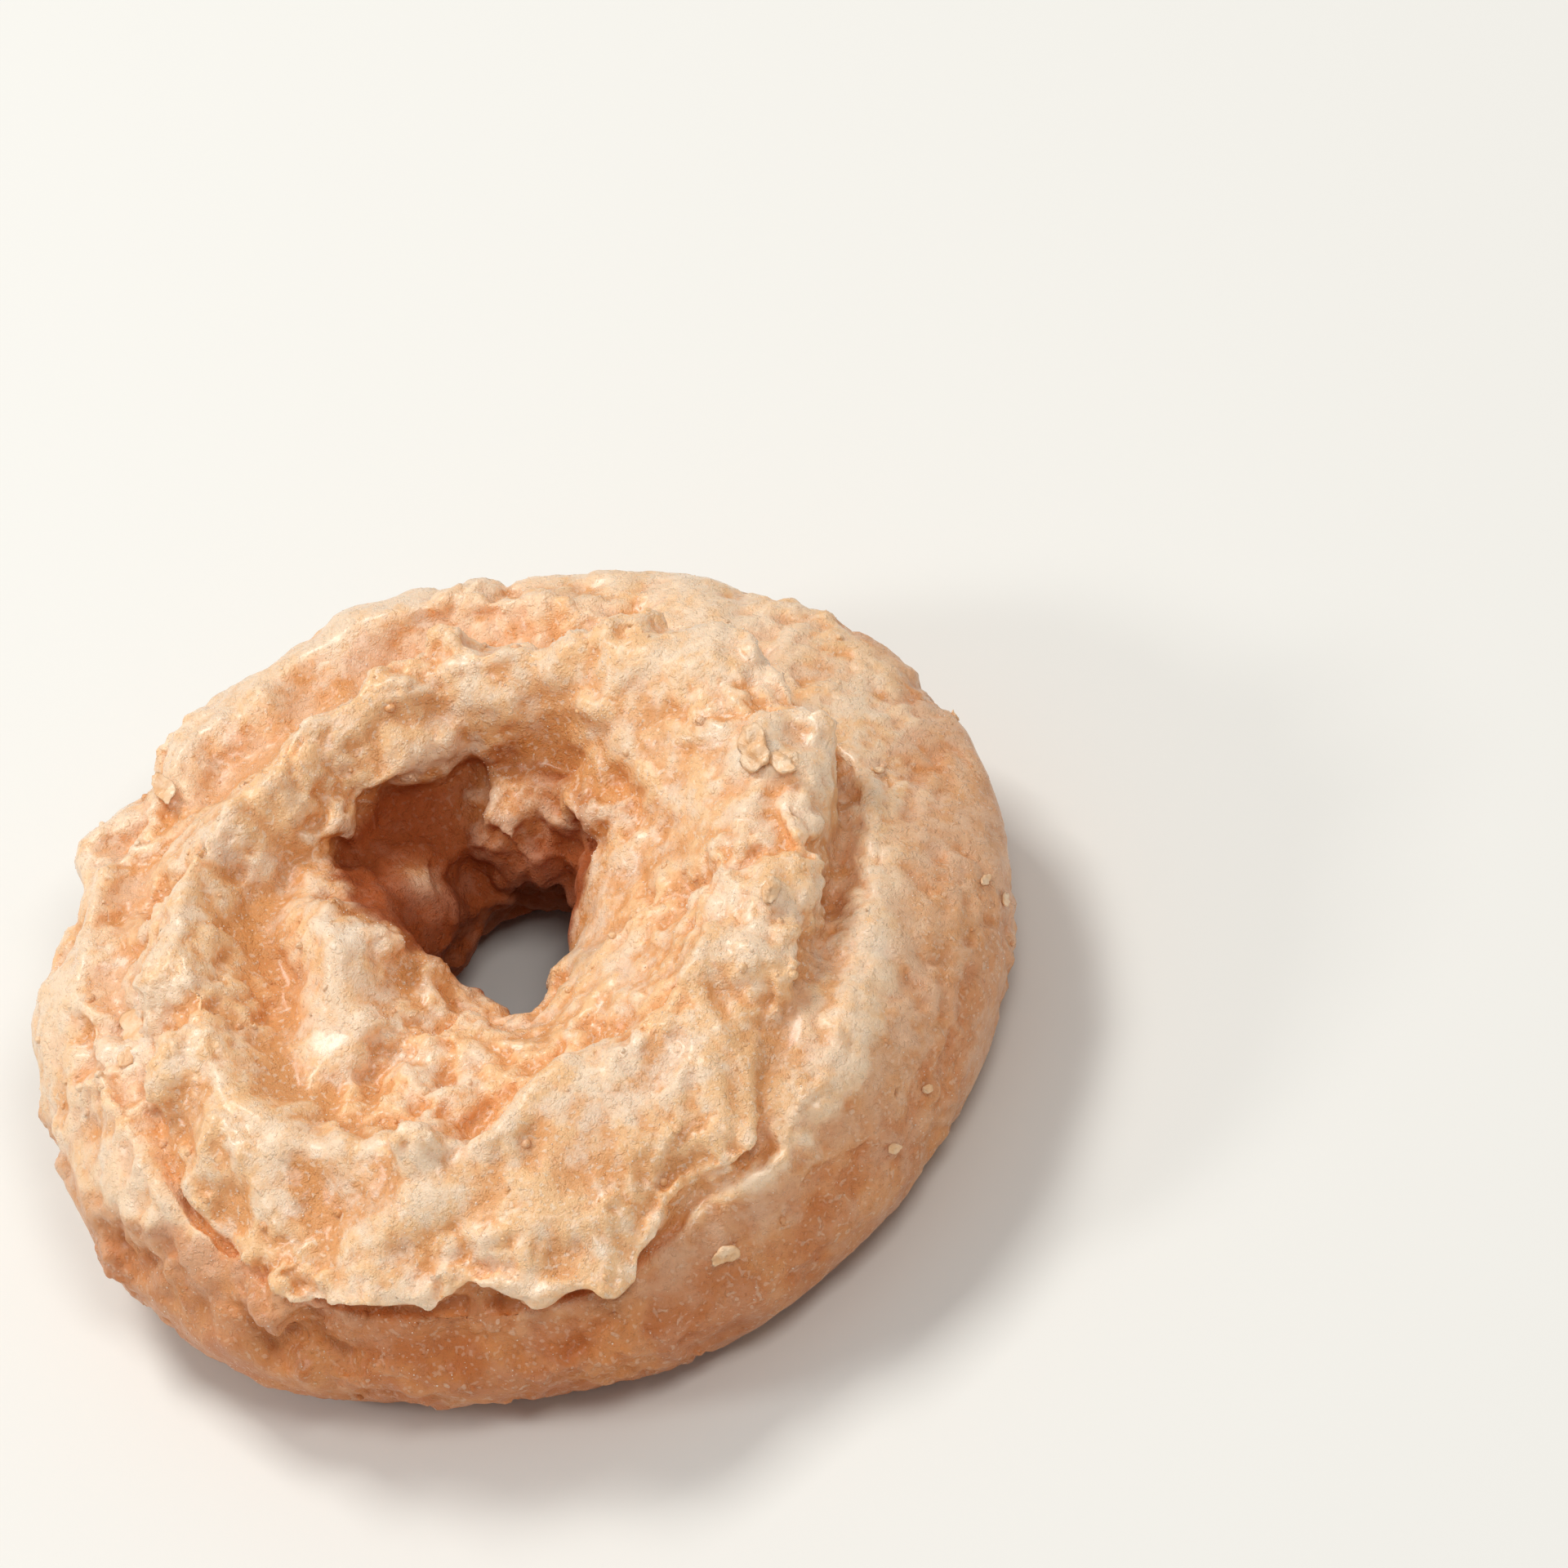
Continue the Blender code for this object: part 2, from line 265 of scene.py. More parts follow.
@dataclass
class RingShape:
    """The smooth ring: named lines round it, every 30 degrees from +X, and its lumps (mm)."""

    belly_r: Sequence[float] = (46.0, 45.6, 44.5, 46.0, 46.4, 46.0, 46.4, 46.0, 44.2, 45.2, 44.7, 45.0)
    belly_z: Sequence[float] = (12.5, 14.0, 14.5, 14.0, 14.0, 14.0, 12.5, 11.0, 10.0, 10.0, 10.5, 11.5)
    shoulder_r: Sequence[float] = (44.8, 43.6, 41.8, 43.9, 44.6, 44.4, 45.0, 44.4, 43.2, 43.6, 43.6, 43.9)
    shoulder_z: Sequence[float] = (16.5, 20.0, 22.0, 22.2, 22.0, 20.0, 18.5, 15.5, 14.0, 14.0, 18.0, 17.0)
    skirt_r: Sequence[float] = (35.6, 34.8, 35.6, 39.0, 39.5, 40.0, 39.5, 41.2, 42.8, 42.2, 41.0, 37.0)
    skirt_z: Sequence[float] = (22.3, 24.0, 25.5, 25.5, 25.0, 24.6, 25.2, 21.0, 17.4, 17.4, 23.0, 22.9)
    crack_r: Sequence[float] = (32.8, 31.8, 31.2, 33.5, 34.0, 36.0, 35.0, 40.4, 41.4, 40.8, 36.2, 32.0)
    crack_z: Sequence[float] = (21.6, 22.8, 23.5, 23.3, 23.6, 24.4, 25.0, 20.0, 18.0, 18.0, 24.8, 22.6)
    edge_r: Sequence[float] = (34.0, 31.8, 26.4, 25.8, 25.4, 30.6, 32.2, 40.6, 43.4, 42.2, 35.0, 31.8)
    edge_z: Sequence[float] = (29.0, 30.5, 31.6, 31.8, 31.8, 30.0, 29.2, 22.4, 21.2, 21.4, 27.0, 28.4)
    crest_r: Sequence[float] = (29.5, 27.2, 23.6, 23.4, 23.2, 27.0, 28.0, 32.0, 30.8, 26.0, 25.8, 27.0)
    crest_z: Sequence[float] = (31.4, 32.2, 32.4, 32.6, 32.8, 32.2, 31.2, 28.4, 27.8, 28.8, 29.8, 30.8)
    valley_r: Sequence[float] = (22.8, 21.8, 19.0, 17.2, 18.6, 21.4, 21.0, 25.6, 24.0, 22.0, 21.2, 22.2)
    valley_z: Sequence[float] = (29.0, 29.4, 27.6, 26.5, 27.0, 26.0, 25.2, 25.0, 24.6, 24.6, 27.0, 28.4)
    ledge_r: Sequence[float] = (17.4, 16.8, 18.2, 19.6, 18.6, 16.0, 14.8, 15.8, 14.4, 13.0, 14.6, 16.4)
    ledge_z: Sequence[float] = (26.0, 25.2, 22.4, 21.4, 23.0, 27.4, 29.0, 25.6, 23.2, 22.0, 23.6, 25.4)
    rim_r: Sequence[float] = (6.8, 9.8, 13.4, 14.2, 12.8, 10.4, 8.4, 5.4, 7.6, 7.2, 5.6, 6.0)
    rim_z: Sequence[float] = (18.0, 20.0, 19.0, 17.5, 20.0, 24.4, 24.6, 20.0, 18.5, 18.0, 18.0, 17.5)
    waist_r: Sequence[float] = (6.6, 9.4, 12.2, 13.2, 11.4, 9.0, 6.6, 5.2, 7.0, 6.8, 5.8, 6.2)
    waist_z: float = 12.0
    low_z: float = 4.2
    low_in: float = 4.2
    low_out: float = 2.6
    foot_in: float = 10.0
    foot_out: float = 9.5
    foot_depth: float = 0.7
    shares: Sequence[float] = (
        0.0, 0.055, 0.14, 0.168, 0.225, 0.27, 0.335, 0.39, 0.454, 0.536, 0.605, 0.66, 0.853, 0.926,
    )
    edge_line: int = 4
    tension: float = 0.42
    form_edge: float = 1.4
    offset: Sequence[float] = (0.25, -0.51, 0.0)
    tears: Sequence[tuple[float, float]] = ((5.0, 1.5),)
    forms: dict[str, Form] = field(
        default_factory=lambda: {
            "back_left_notch": Form(143, 45.0, 18.5, 3.0, -4.2, -0.6),
            "back_left_corner": Form(136, 44.6, 21.5, 3.0, 1.0, 1.4),
            "front_left_corner": Form(222, 42.6, 17.0, 4.0, 1.6, 0.0),
            "left_bulge": Form(158, 45.5, 19.0, 5.0, 0.6, 0.8),
            "slope_knob": Form(165, 23.1, 30.0, 2.0, 0.0, 1.2),
            "crown_dish": Form(125, 25.6, 31.5, 3.0, 0.0, -1.8),
            "crown_pit": Form(145, 24.0, 30.5, 1.8, 0.0, -1.8),
            "ledge_pit": Form(145, 15.4, 28.0, 1.8, 0.0, -1.6),
            "back_skirt_knob": Form(108, 36.0, 25.0, 2.6, 0.0, 1.8),
            "column_lump": Form(114, 13.2, 15.0, 4.0, -3.4, 0.8),
            "column_foot": Form(112, 13.5, 7.0, 3.4, -2.6, 0.0),
            "shelf_lump": Form(72, 15.8, 17.5, 4.2, -3.6, 1.4),
            "wall_cleft": Form(94, 13.6, 15.0, 2.2, 2.6, -1.0),
            "ear_flap": Form(41, 20.4, 28.0, 1.8, -0.8, 1.6),
            "block_corner": Form(46, 13.5, 22.0, 3.0, -1.4, 1.2),
            "block_gap": Form(52, 18.2, 25.0, 2.6, 0.4, -3.2),
            "glazed_lump": Form(181, 14.2, 28.0, 5.0, -0.6, 1.0),
            "spiky_lump": Form(207, 9.6, 22.0, 2.8, -0.6, 1.8),
            "window_lump": Form(217, 6.4, 17.5, 2.2, -1.4, 0.6),
            "window_left_lump": Form(168, 6.6, 13.0, 3.0, -1.3, 0.0),
            "window_right_lump": Form(2, 6.8, 14.0, 3.6, -1.5, 0.0),
            "front_flap": Form(241, 31.0, 28.4, 2.0, 0.0, 3.0),
            "front_lip": Form(254, 30.2, 28.6, 2.6, 0.6, 1.4),
            "front_scoop": Form(250, 26.4, 26.4, 3.2, 0.6, -2.6),
            "front_flap_body": Form(240, 34.5, 26.0, 3.0, 0.0, 1.0),
            "front_left_dish": Form(227, 34.6, 25.8, 4.2, 0.0, -1.9),
            "front_edge_tooth": Form(265, 42.6, 20.8, 2.6, 1.6, -2.6),
            "front_edge_bay": Form(277, 43.0, 20.8, 2.6, -1.6, 1.4),
            "front_edge_bay_left": Form(249, 42.8, 20.8, 3.0, -2.0, 1.4),
            "front_right_tooth": Form(288, 39.6, 24.0, 4.0, 2.2, -1.6),
            "plateau_dip": Form(301, 38.0, 25.0, 4.0, 0.0, -0.8),
            "left_cliff_lump": Form(207, 35.0, 26.0, 4.0, 0.8, 1.6),
            "glaze_crust": Form(355, 27.8, 31.2, 3.2, 0.0, 0.8),
            "edge_knob": Form(323, 30.0, 30.0, 1.8, 0.4, 1.2),
            "base_crumb": Form(278, 43.8, 16.5, 1.8, 1.0, 0.4),
            "base_notch": Form(275, 44.6, 6.0, 1.8, -1.2, 0.0),
        }
    )

    @staticmethod
    def round_ring(values: Sequence[float], places: Array) -> Array:
        """A closed smooth line through evenly spaced values.

        Args:
            values: one value for each knot.
            places: where to read the line, counted in knots.

        Returns:
            One value for each place.
        """
        knots = np.asarray(values, float)
        low = np.floor(places).astype(int)
        t = places - low
        a, b, c, d = (knots[(low + k) % len(knots)] for k in (-1, 0, 1, 2))
        return b + 0.5 * t * (c - a + t * (2 * a - 5 * b + 4 * c - d + t * (3 * (b - c) + d - a)))

    def lines(self, angle: Array) -> tuple[Array, Array]:
        """Every line at these angles.

        Args:
            angle: angles in radians.

        Returns:
            Radii and heights, each an array of lines by angles.
        """
        places = angle / (2 * np.pi) * len(self.belly_r)
        belly, waist = self.round_ring(self.belly_r, places), self.round_ring(self.waist_r, places)
        level = np.ones_like(places)
        names = ("shoulder", "skirt", "crack", "edge", "crest", "valley", "ledge", "rim")
        radii = [belly] + [self.round_ring(getattr(self, f"{n}_r"), places) for n in names]
        radii += [waist, waist + self.low_in, waist + self.foot_in]
        radii += [belly - self.foot_out, belly - self.low_out]
        heights = [self.round_ring(getattr(self, f"{n}_z"), places) for n in ("belly", *names)]
        levels = (self.waist_z, self.low_z, -self.foot_depth, -self.foot_depth, self.low_z)
        heights += [z * level for z in levels]
        along = radii[self.edge_line] * np.array([np.cos(angle), np.sin(angle), 0 * angle])
        tear = sum(depth * smooth_noise(along.T, size, SEED + 20) for size, depth in self.tears)
        radii[self.edge_line] = radii[self.edge_line] + tear
        heights[self.edge_line] = heights[self.edge_line] + 0.5 * tear
        return np.array(radii), np.array(heights)

    def surface(self, angle: Array, share: Array) -> Array:
        """Points of the smooth ring with its lumps.

        Args:
            angle: angles round the ring, in radians.
            share: shares of the way round the section.

        Returns:
            Points in mm, one row each, before the offset.
        """
        starts = np.array(self.shares)
        ends = np.append(starts[1:], 1.0)
        line = np.clip(np.searchsorted(starts, share, side="right") - 1, 0, len(starts) - 1)
        t = (share - starts[line]) / (ends[line] - starts[line])
        column = np.arange(angle.size)
        found = []
        for values in self.lines(angle):
            a, b, c, d = (values[(line + k) % len(starts), column] for k in (-1, 0, 1, 2))
            leave, arrive = self.tension * (c - a), self.tension * (d - b)
            bend = 3 * (c - b) - 2 * leave - arrive + t * (2 * (b - c) + leave + arrive)
            found.append(b + t * (leave + t * bend))
        radius, height = found
        return self.with_forms(angle, radius, height)

    def with_forms(self, angle: Array, radius: Array, height: Array) -> Array:
        """Adds the lumps and hollows.

        Args:
            angle: angles in radians.
            radius: radii of the smooth ring.
            height: heights of the smooth ring.

        Returns:
            Points in mm, one row each.
        """
        points = np.stack([radius * np.cos(angle), radius * np.sin(angle), height], axis=1)
        out, up = np.zeros_like(radius), np.zeros_like(radius)
        for form in self.forms.values():
            away = points - form.centre()
            weight = np.exp(-(((away * away).sum(axis=1) / form.spread**2) ** self.form_edge))
            out += form.out * weight
            up += form.up * weight
        radius, height = radius + out, height + up
        return np.stack([radius * np.cos(angle), radius * np.sin(angle), height], axis=1)


@dataclass(frozen=True)
class Relief:
    """One layer of relief on the crust (mm)."""

    grain: Grain
    size: float
    depth: float
    seed: int
    zone: Zone = Zone.ALL


@dataclass
class Crust:
    """The whole doughnut's surface: torn crown, skirt, base and hole as one closed mesh.

    Lengths are in mm and angles in degrees. A touch is the x, y, z, reach and lift of a small push. A
    spot is an x, y, z and reach. Rows of 12 values go round the ring as the shape's lines do.
    """

    shape: RingShape = field(default_factory=RingShape)
    ring_segments: int = 760
    section_segments: int = 280
    torus_major: float = 28.0
    torus_minor: float = 15.0
    voxel: float = 0.30
    most_triangles: int = 196_000
    crag_size: float = 7.0
    crag_depth: float = 1.5
    swell_share: float = 0.5
    ledge_size: float = 0.6
    ledge_share: float = 0.25
    ledge_steepness: float = 3.0
    rough_patch: float = 11.0
    least_relief: float = 0.30
    more_relief: float = 0.90
    calmed_crags: float = 0.6
    calmed_relief: float = 0.7
    skirt_wrinkle: float = 0.45
    wrinkled_side: float = 165.0
    warp_size: float = 6.0
    warp_depth: float = 2.5
    foot_limit: float = 1.0
    inner_limit: float = 0.66
    touches: Sequence[tuple[float, float, float, float, float]] = (
        (-15.0, -26.5, 29.0, 1.7, 2.2), (-12.5, -28.5, 28.5, 2.0, 1.3), (-8.5, -29.0, 28.5, 2.2, 0.8),
        (-4.5, -27.5, 28.5, 2.2, 0.8), (-9.5, -24.0, 26.5, 3.4, -2.4), (-4.0, -23.0, 26.5, 2.8, -1.8),
        (-13.0, 1.0, 27.5, 4.5, 1.2), (-21.5, 9.0, 26.0, 2.2, -0.9), (-21.6, 4.0, 25.6, 2.2, -0.9),
        (-21.8, -1.0, 25.4, 2.2, -0.9), (-20.0, 13.0, 26.4, 2.2, -0.7), (-25.0, -24.0, 25.6, 4.0, -0.8),
    )
    calm_spots: Sequence[Spot] = (
        (-14.0, 0.3, 28.0, 6.5), (-27.0, 6.5, 29.0, 8.0), (-25.5, -7.0, 28.5, 7.0),
        (18.5, -33.0, 25.0, 9.0), (13.5, -16.0, 28.0, 6.0), (-23.0, -26.5, 25.0, 4.0),
        (-10.5, -26.0, 27.5, 7.0), (0.0, -30.0, 28.0, 5.0), (27.0, 14.0, 31.0, 6.0),
        (-5.0, 21.0, 31.0, 6.0),
    )
    toasted_side: float = 108.0
    toasted_back: float = 0.30
    # How strong the brown is round the ring: the base's own fried brown, strongest at the front-left and
    # front, where it also stands in for shade.
    brown_and_shade: Sequence[float] = (0.72, 0.85, 0.90, 0.85, 0.80, 0.75, 0.85, 1.05, 1.05, 1.0, 0.85, 0.72)
    # Milky patches of dried glaze; the first, on the glazed lump, is a painted reflection.
    glaze_and_glint_spots: Sequence[Spot] = (
        (-13.5, 0.5, 28.0, 5.0), (-35.0, 3.5, 25.5, 5.5), (28.0, -2.5, 31.5, 4.0), (-16.5, -4.0, 27.0, 3.0),
        (-6.0, -24.0, 27.0, 3.0), (9.0, -13.0, 26.0, 3.5), (15.0, -8.0, 26.0, 3.0), (31.0, -24.0, 24.0, 3.0),
    )
    skirt_glaze: float = 0.5
    # Painted shade in these spots: the front-left dish, the left valley, hollows at the front and front
    # right, and low on the front-left side.
    shade_spots: Sequence[Spot] = (
        (-25.0, -24.0, 25.6, 5.0), (-21.5, 7.0, 26.0, 3.2), (-9.5, -24.0, 26.5, 3.2),
        (-4.0, -23.0, 26.5, 2.8), (18.5, -33.0, 25.0, 5.0), (2.0, -37.0, 22.0, 4.0),
        (-38.0, -17.0, 12.0, 7.0), (-31.0, -28.0, 11.0, 7.0),
    )
    hollow_rounds: int = 8
    hollow_full: float = 0.10
    valley_rounds: int = 150
    valley_full: float = 0.80
    base_brown_full: float = 3.0
    base_brown_none: float = 5.5
    # Painted shade in the hole: it comes on over dark_width from where it starts, and the underside out to
    # dark_end is dark too.
    dark_width: float = 0.04
    dark_end: float = 0.72
    # Painted shade on the rim of the hole: a band just before and after where the hole's painted shade
    # starts.
    rim_shade_before: float = 0.045
    rim_shade_after: float = 0.015
    # Heights below which the side is brown, by turn: higher round the front than the back; at the front the
    # brown also stands in for shade.
    brown_below: Sequence[float] = (
        19.5, 18.5, 16.5, 14.5, 13.0, 13.0, 17.5, 21.5, 21.5, 19.5, 20.5, 22.5,
    )
    # Where the hole's painted shade starts, by turn, as shares of the section.
    dark_from: Sequence[float] = (0.44, 0.40, 0.355, 0.345, 0.35, 0.40, 0.43, 0.44, 0.47, 0.475, 0.475, 0.465)
    lit_tops: dict[str, tuple[float, float]] = field(
        default_factory=lambda: {
            "shelf_lump": (4.5, 3.8),
            "column_lump": (4.0, 1.6),
            "spiky_lump": (1.0, 3.0),
            "block_corner": (1.0, 3.0),
        }
    )
    skin: float = 0.5
    relief_sway: float = 0.3
    edge_share: float = 0.222
    edge_reach: float = 0.022
    edge_tatters: Sequence[tuple[float, float]] = ((2.0, 0.6), (0.9, 0.35))
    coarse: Sequence[Relief] = (
        Relief(Grain.TEARS, 8.0, 0.16, 40, Zone.CROWN),
        Relief(Grain.TEARS, 4.5, 0.12, 45, Zone.CROWN),
        Relief(Grain.PEBBLES, 6.5, 0.90, 52, Zone.CROWN),
        Relief(Grain.PEBBLES, 3.2, 0.70, 55, Zone.CROWN),
        Relief(Grain.PEBBLES, 7.0, 1.30, 58, Zone.SKIRT),
        Relief(Grain.PEBBLES, 3.4, 0.70, 59, Zone.SKIRT),
        Relief(Grain.SWELLS, 5.0, 0.30, 61, Zone.BASE),
        Relief(Grain.PEBBLES, 2.6, 0.28, 63, Zone.BASE),
    )
    fine: Sequence[Relief] = (
        Relief(Grain.PEBBLES, 1.9, 0.32, 71, Zone.ALL),
        Relief(Grain.PEBBLES, 1.1, 0.17, 74, Zone.ALL),
    )

    def zone_weight(self, zone: Zone, angle: Array, share: Array) -> Array:
        """How strongly a zone's relief shows.

        Args:
            zone: the zone asked for.
            angle: angles in radians.
            share: shares of the way round the section.

        Returns:
            Weights from 0 to about 1.
        """
        if zone is Zone.CROWN:
            return np.interp(share, (0.0, 0.15, 0.19, 0.46, 0.58, 0.66), (0, 0, 1, 1, 0.9, 0))
        turned = 0.5 + 0.5 * np.cos(angle - np.radians(self.wrinkled_side))
        skirt = np.interp(share, (0.0, 0.02, 0.13, 0.2, 0.95, 1.0), (0.6, 1.0, 1.0, 0.0, 0.0, 0.6))
        if zone is Zone.SKIRT:
            return skirt * (0.15 + 0.85 * turned)
        if zone is Zone.BASE:
            return np.interp(share, (0.0, 0.06, 0.1, 0.55, 0.66, 0.9, 1.0), (1, 0.5, 0, 0, 0.6, 0.6, 1))
        return np.ones_like(share)

    def crags(self, points: Array, angle: Array, share: Array) -> Array:
        """The large crags that the solid has too.

        Args:
            points: points of the smooth ring.
            angle: their angles in radians.
            share: their shares of the way round the section.

        Returns:
            How far each point stands out, in mm.
        """
        torn = np.interp(
            share,
            (0.0, 0.17, 0.21, 0.45, 0.56, 0.66, 0.9, 1.0),
            (0.3, 0.4, 1.0, 1.0, 0.8, 0.2, 0.1, 0.3),
        )
        turned = 0.5 + 0.5 * np.cos(angle - np.radians(self.wrinkled_side))
        torn += self.skirt_wrinkle * turned * ((share > 0.9) | (share < 0.17))
        warped = self.warped(points)
        large = self.swell_share * smooth_noise(warped, self.crag_size, SEED + 5)
        steps = smooth_noise(warped, self.ledge_size * self.crag_size, SEED + 6)
        ledges = self.ledge_share * np.tanh(self.ledge_steepness * steps)
        calm = 1.0 - self.calmed_crags * self.near_spots(points, self.calm_spots)
        return torn * calm * self.crag_depth * (large + ledges)

    def near_spots(self, points: Array, spots: Sequence[Spot]) -> Array:
        """How near each point is to the closest of these round spots.

        Args:
            points: points in mm.
            spots: the spots' x, y, z and reach in mm.

        Returns:
            Numbers from 0 to 1.
        """
        near = np.zeros(len(points))
        for x, y, z, reach in spots:
            away = points - np.array([x, y, z])
            near = np.maximum(near, np.exp(-(((away * away).sum(axis=1) / reach**2) ** 1.5)))
        return near

    def warped(self, points: Array) -> Array:
        """Points swayed by slow noise, so that patterns don't line up with the axes."""
        sway = [smooth_noise(points, self.warp_size, SEED + k) for k in range(3)]
        return points + self.warp_depth * np.stack(sway, axis=1)

    def relief(self, layers: Sequence[Relief], points: Array, angle: Array, share: Array) -> Array:
        """Adds layers of relief together.

        Args:
            layers: the layers.
            points: points of the surface.
            angle: their angles in radians.
            share: their shares of the way round the section.

        Returns:
            How far each point stands out, in mm.
        """
        warped = points + self.relief_sway * (self.warped(points) - points)
        patches = ramp(crumb_noise(points, self.rough_patch, SEED + 33), -0.35, 0.45)
        patches = self.least_relief + self.more_relief * patches
        total = np.zeros(len(points))
        if layers is self.coarse:
            for x, y, z, reach, lift in self.touches:
                total += lift * self.near_spots(points, ((x, y, z, reach),))
            near_edge = np.exp(-(((share - self.edge_share) / self.edge_reach) ** 2))
            for size, depth in self.edge_tatters:
                total += depth * near_edge * crumb_noise(points, size, SEED + 21)
        for layer in layers:
            pattern = PATTERNS[layer.grain](warped, layer.size, layer.seed)
            total += layer.depth * pattern * patches * self.zone_weight(layer.zone, angle, share)
        if layers is self.coarse:
            total *= 1.0 - self.calmed_relief * self.near_spots(points, self.calm_spots)
        return total

    def torus(self) -> bpy.types.Object:
        """A fine torus, whose points are then laid on the ring.

        Returns:
            The torus.
        """
        bpy.ops.mesh.primitive_torus_add(
            major_segments=self.ring_segments,
            minor_segments=self.section_segments,
            major_radius=self.torus_major,
            minor_radius=self.torus_minor,
        )
        ring = bpy.context.object
        ring.name = ring.data.name = "crust"
        return ring

    def build(self) -> bpy.types.Object:
        """Makes the crust's mesh.

        Returns:
            The crust, closed, in metres, with its masks as point attributes.
        """
        ring = self.torus()
        places = read_points(ring.data)
        angle = np.arctan2(places[:, 1], places[:, 0]) % (2 * np.pi)
        off_line = np.hypot(places[:, 0], places[:, 1]) - self.torus_major
        share = np.arctan2(places[:, 2], off_line) % (2 * np.pi) / (2 * np.pi)
        points = self.shape.surface(angle, share)
        write_points(ring.data, points)
        points += read_normals(ring.data) * self.crags(points, angle, share)[:, None]
        write_points(ring.data, points)
        push = self.relief(self.coarse, points, angle, share)
        points += read_normals(ring.data) * push[:, None]
        points[:, 2] = np.maximum(points[:, 2], -self.shape.foot_depth)
        write_points(ring.data, points)
        tree = BVHTree.FromPolygons(
            [Vector(p) for p in points], [tuple(f.vertices) for f in ring.data.polygons]
        )
        face_point = first_points(ring.data)
        self.remesh(ring)
        points = read_points(ring.data)
        found = np.array([tree.find_nearest(Vector(p))[2] for p in points])
        angle, share = angle[face_point[found]], share[face_point[found]]
        push = self.relief(self.fine, points, angle, share)
        push *= ramp(points[:, 2], 0.0, self.foot_limit)
        points += read_normals(ring.data) * push[:, None]
        points = self.inside_box(points + np.array(self.shape.offset))
        write_points(ring.data, points)
        self.masks(ring.data, points, angle, share)
        write_points(ring.data, points * MM)
        ring.data.shade_smooth()
        return ring

    def remesh(self, ring: bpy.types.Object) -> None:
        """Closes the ring by voxels and thins it where it is smooth.

        Args:
            ring: the torn ring, whose mesh is replaced.
        """
        voxels = ring.modifiers.new("voxels", "REMESH")
        voxels.mode = "VOXEL"
        voxels.voxel_size = self.voxel
        apply_modifiers(ring)
        triangles = 2 * len(ring.data.polygons)
        LOG.info("crust remeshed to %d triangles", triangles)
        thin = ring.modifiers.new("thin", "DECIMATE")
        thin.ratio = min(1.0, self.most_triangles / triangles)
        thin.use_collapse_triangulate = True
        apply_modifiers(ring)

    def inside_box(self, points: Array) -> Array:
        """Eases the outermost points back inside the solid's box.

        Args:
            points: points in mm.

        Returns:
            The points, none of them outside the box.
        """
        low, high = (np.array(corner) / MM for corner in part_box(CAD_NODE))
        reach = self.skin
        over = np.maximum(points - (high - reach), 0.0)
        under = np.maximum((low + reach) - points, 0.0)
        under[:, 2] = 0.0
        points = points - over + reach * np.tanh(over / reach)
        points = points + under - reach * np.tanh(under / reach)
        points[:, 2] = np.maximum(points[:, 2], low[2])
        return points

    def masks(self, mesh: bpy.types.Mesh, points: Array, angle: Array, share: Array) -> None:
        """Stores where the crust is hollow, brown or milky with glaze, and where painted shade goes: in the
        hole, on its rim and in listed spots.

        Args:
            mesh: the crust's mesh.
            points: its points in mm.
            angle: their angles in radians.
            share: their shares of the way round the section.
        """
        normals = read_normals(mesh)
        places = angle / (2 * np.pi) * len(self.brown_and_shade)
        ragged = 1.6 * rough_noise(points, 5.0, SEED + 90) + 0.5 * smooth_noise(points, 1.3, SEED + 93)
        start = self.shape.round_ring(self.dark_from, places)
        inward = share + 0.012 * ragged
        brown = self.brown_mask(points, share, places, ragged)
        # Painted shade in the listed shade spots, ragged in strength.
        golden_shade = self.near_spots(points, self.shade_spots) * (0.35 + 0.4 * ramp(ragged, -0.6, 0.6))
        # Painted shade on the rim of the hole, starting just before the hole's painted shade.
        toast_and_shade = ramp(inward, start - self.rim_shade_before, start + self.rim_shade_after)
        toast_and_shade = self.toast_and_shade_mask(points, angle, share, toast_and_shade)
        skirt = np.interp(share, (0.0, 0.04, 0.15, 0.19, 1.0), (0.0, 1.0, 1.0, 0.0, 0.0))
        skirt *= self.skirt_glaze * (1.0 - np.clip(brown, 0, 1))
        near = hollow_by(mesh, points, normals, self.hollow_rounds) / self.hollow_full
        wide = hollow_by(mesh, points, normals, self.valley_rounds) / self.valley_full
        # The toasted colour: painted shade on the rim and in the spots, and the toasted back of the skirt.
        store_mask(mesh, "toast_and_shade", np.maximum(toast_and_shade, 0.8 * golden_shade))
        # Milky glaze on the skirt and in the listed patches; the patch on the glazed lump is a painted
        # reflection.
        store_mask(mesh, "glaze_and_glint", np.maximum(self.near_spots(points, self.glaze_and_glint_spots), skirt))
        # Hollows and valleys: the tone paints shade into them.
        store_mask(mesh, "hollow", np.clip(near, -1, 1) * 0.5 + 0.5)
        store_mask(mesh, "valley", np.clip(wide, -1, 1) * 0.5 + 0.5)
        store_mask(mesh, "brown", brown)
        # Painted shade in the hole, and on the underside by it.
        dark = ramp(inward, start, start + self.dark_width)
        store_mask(mesh, "hole_shade", self.hole_shade_mask(points, normals, share, dark))

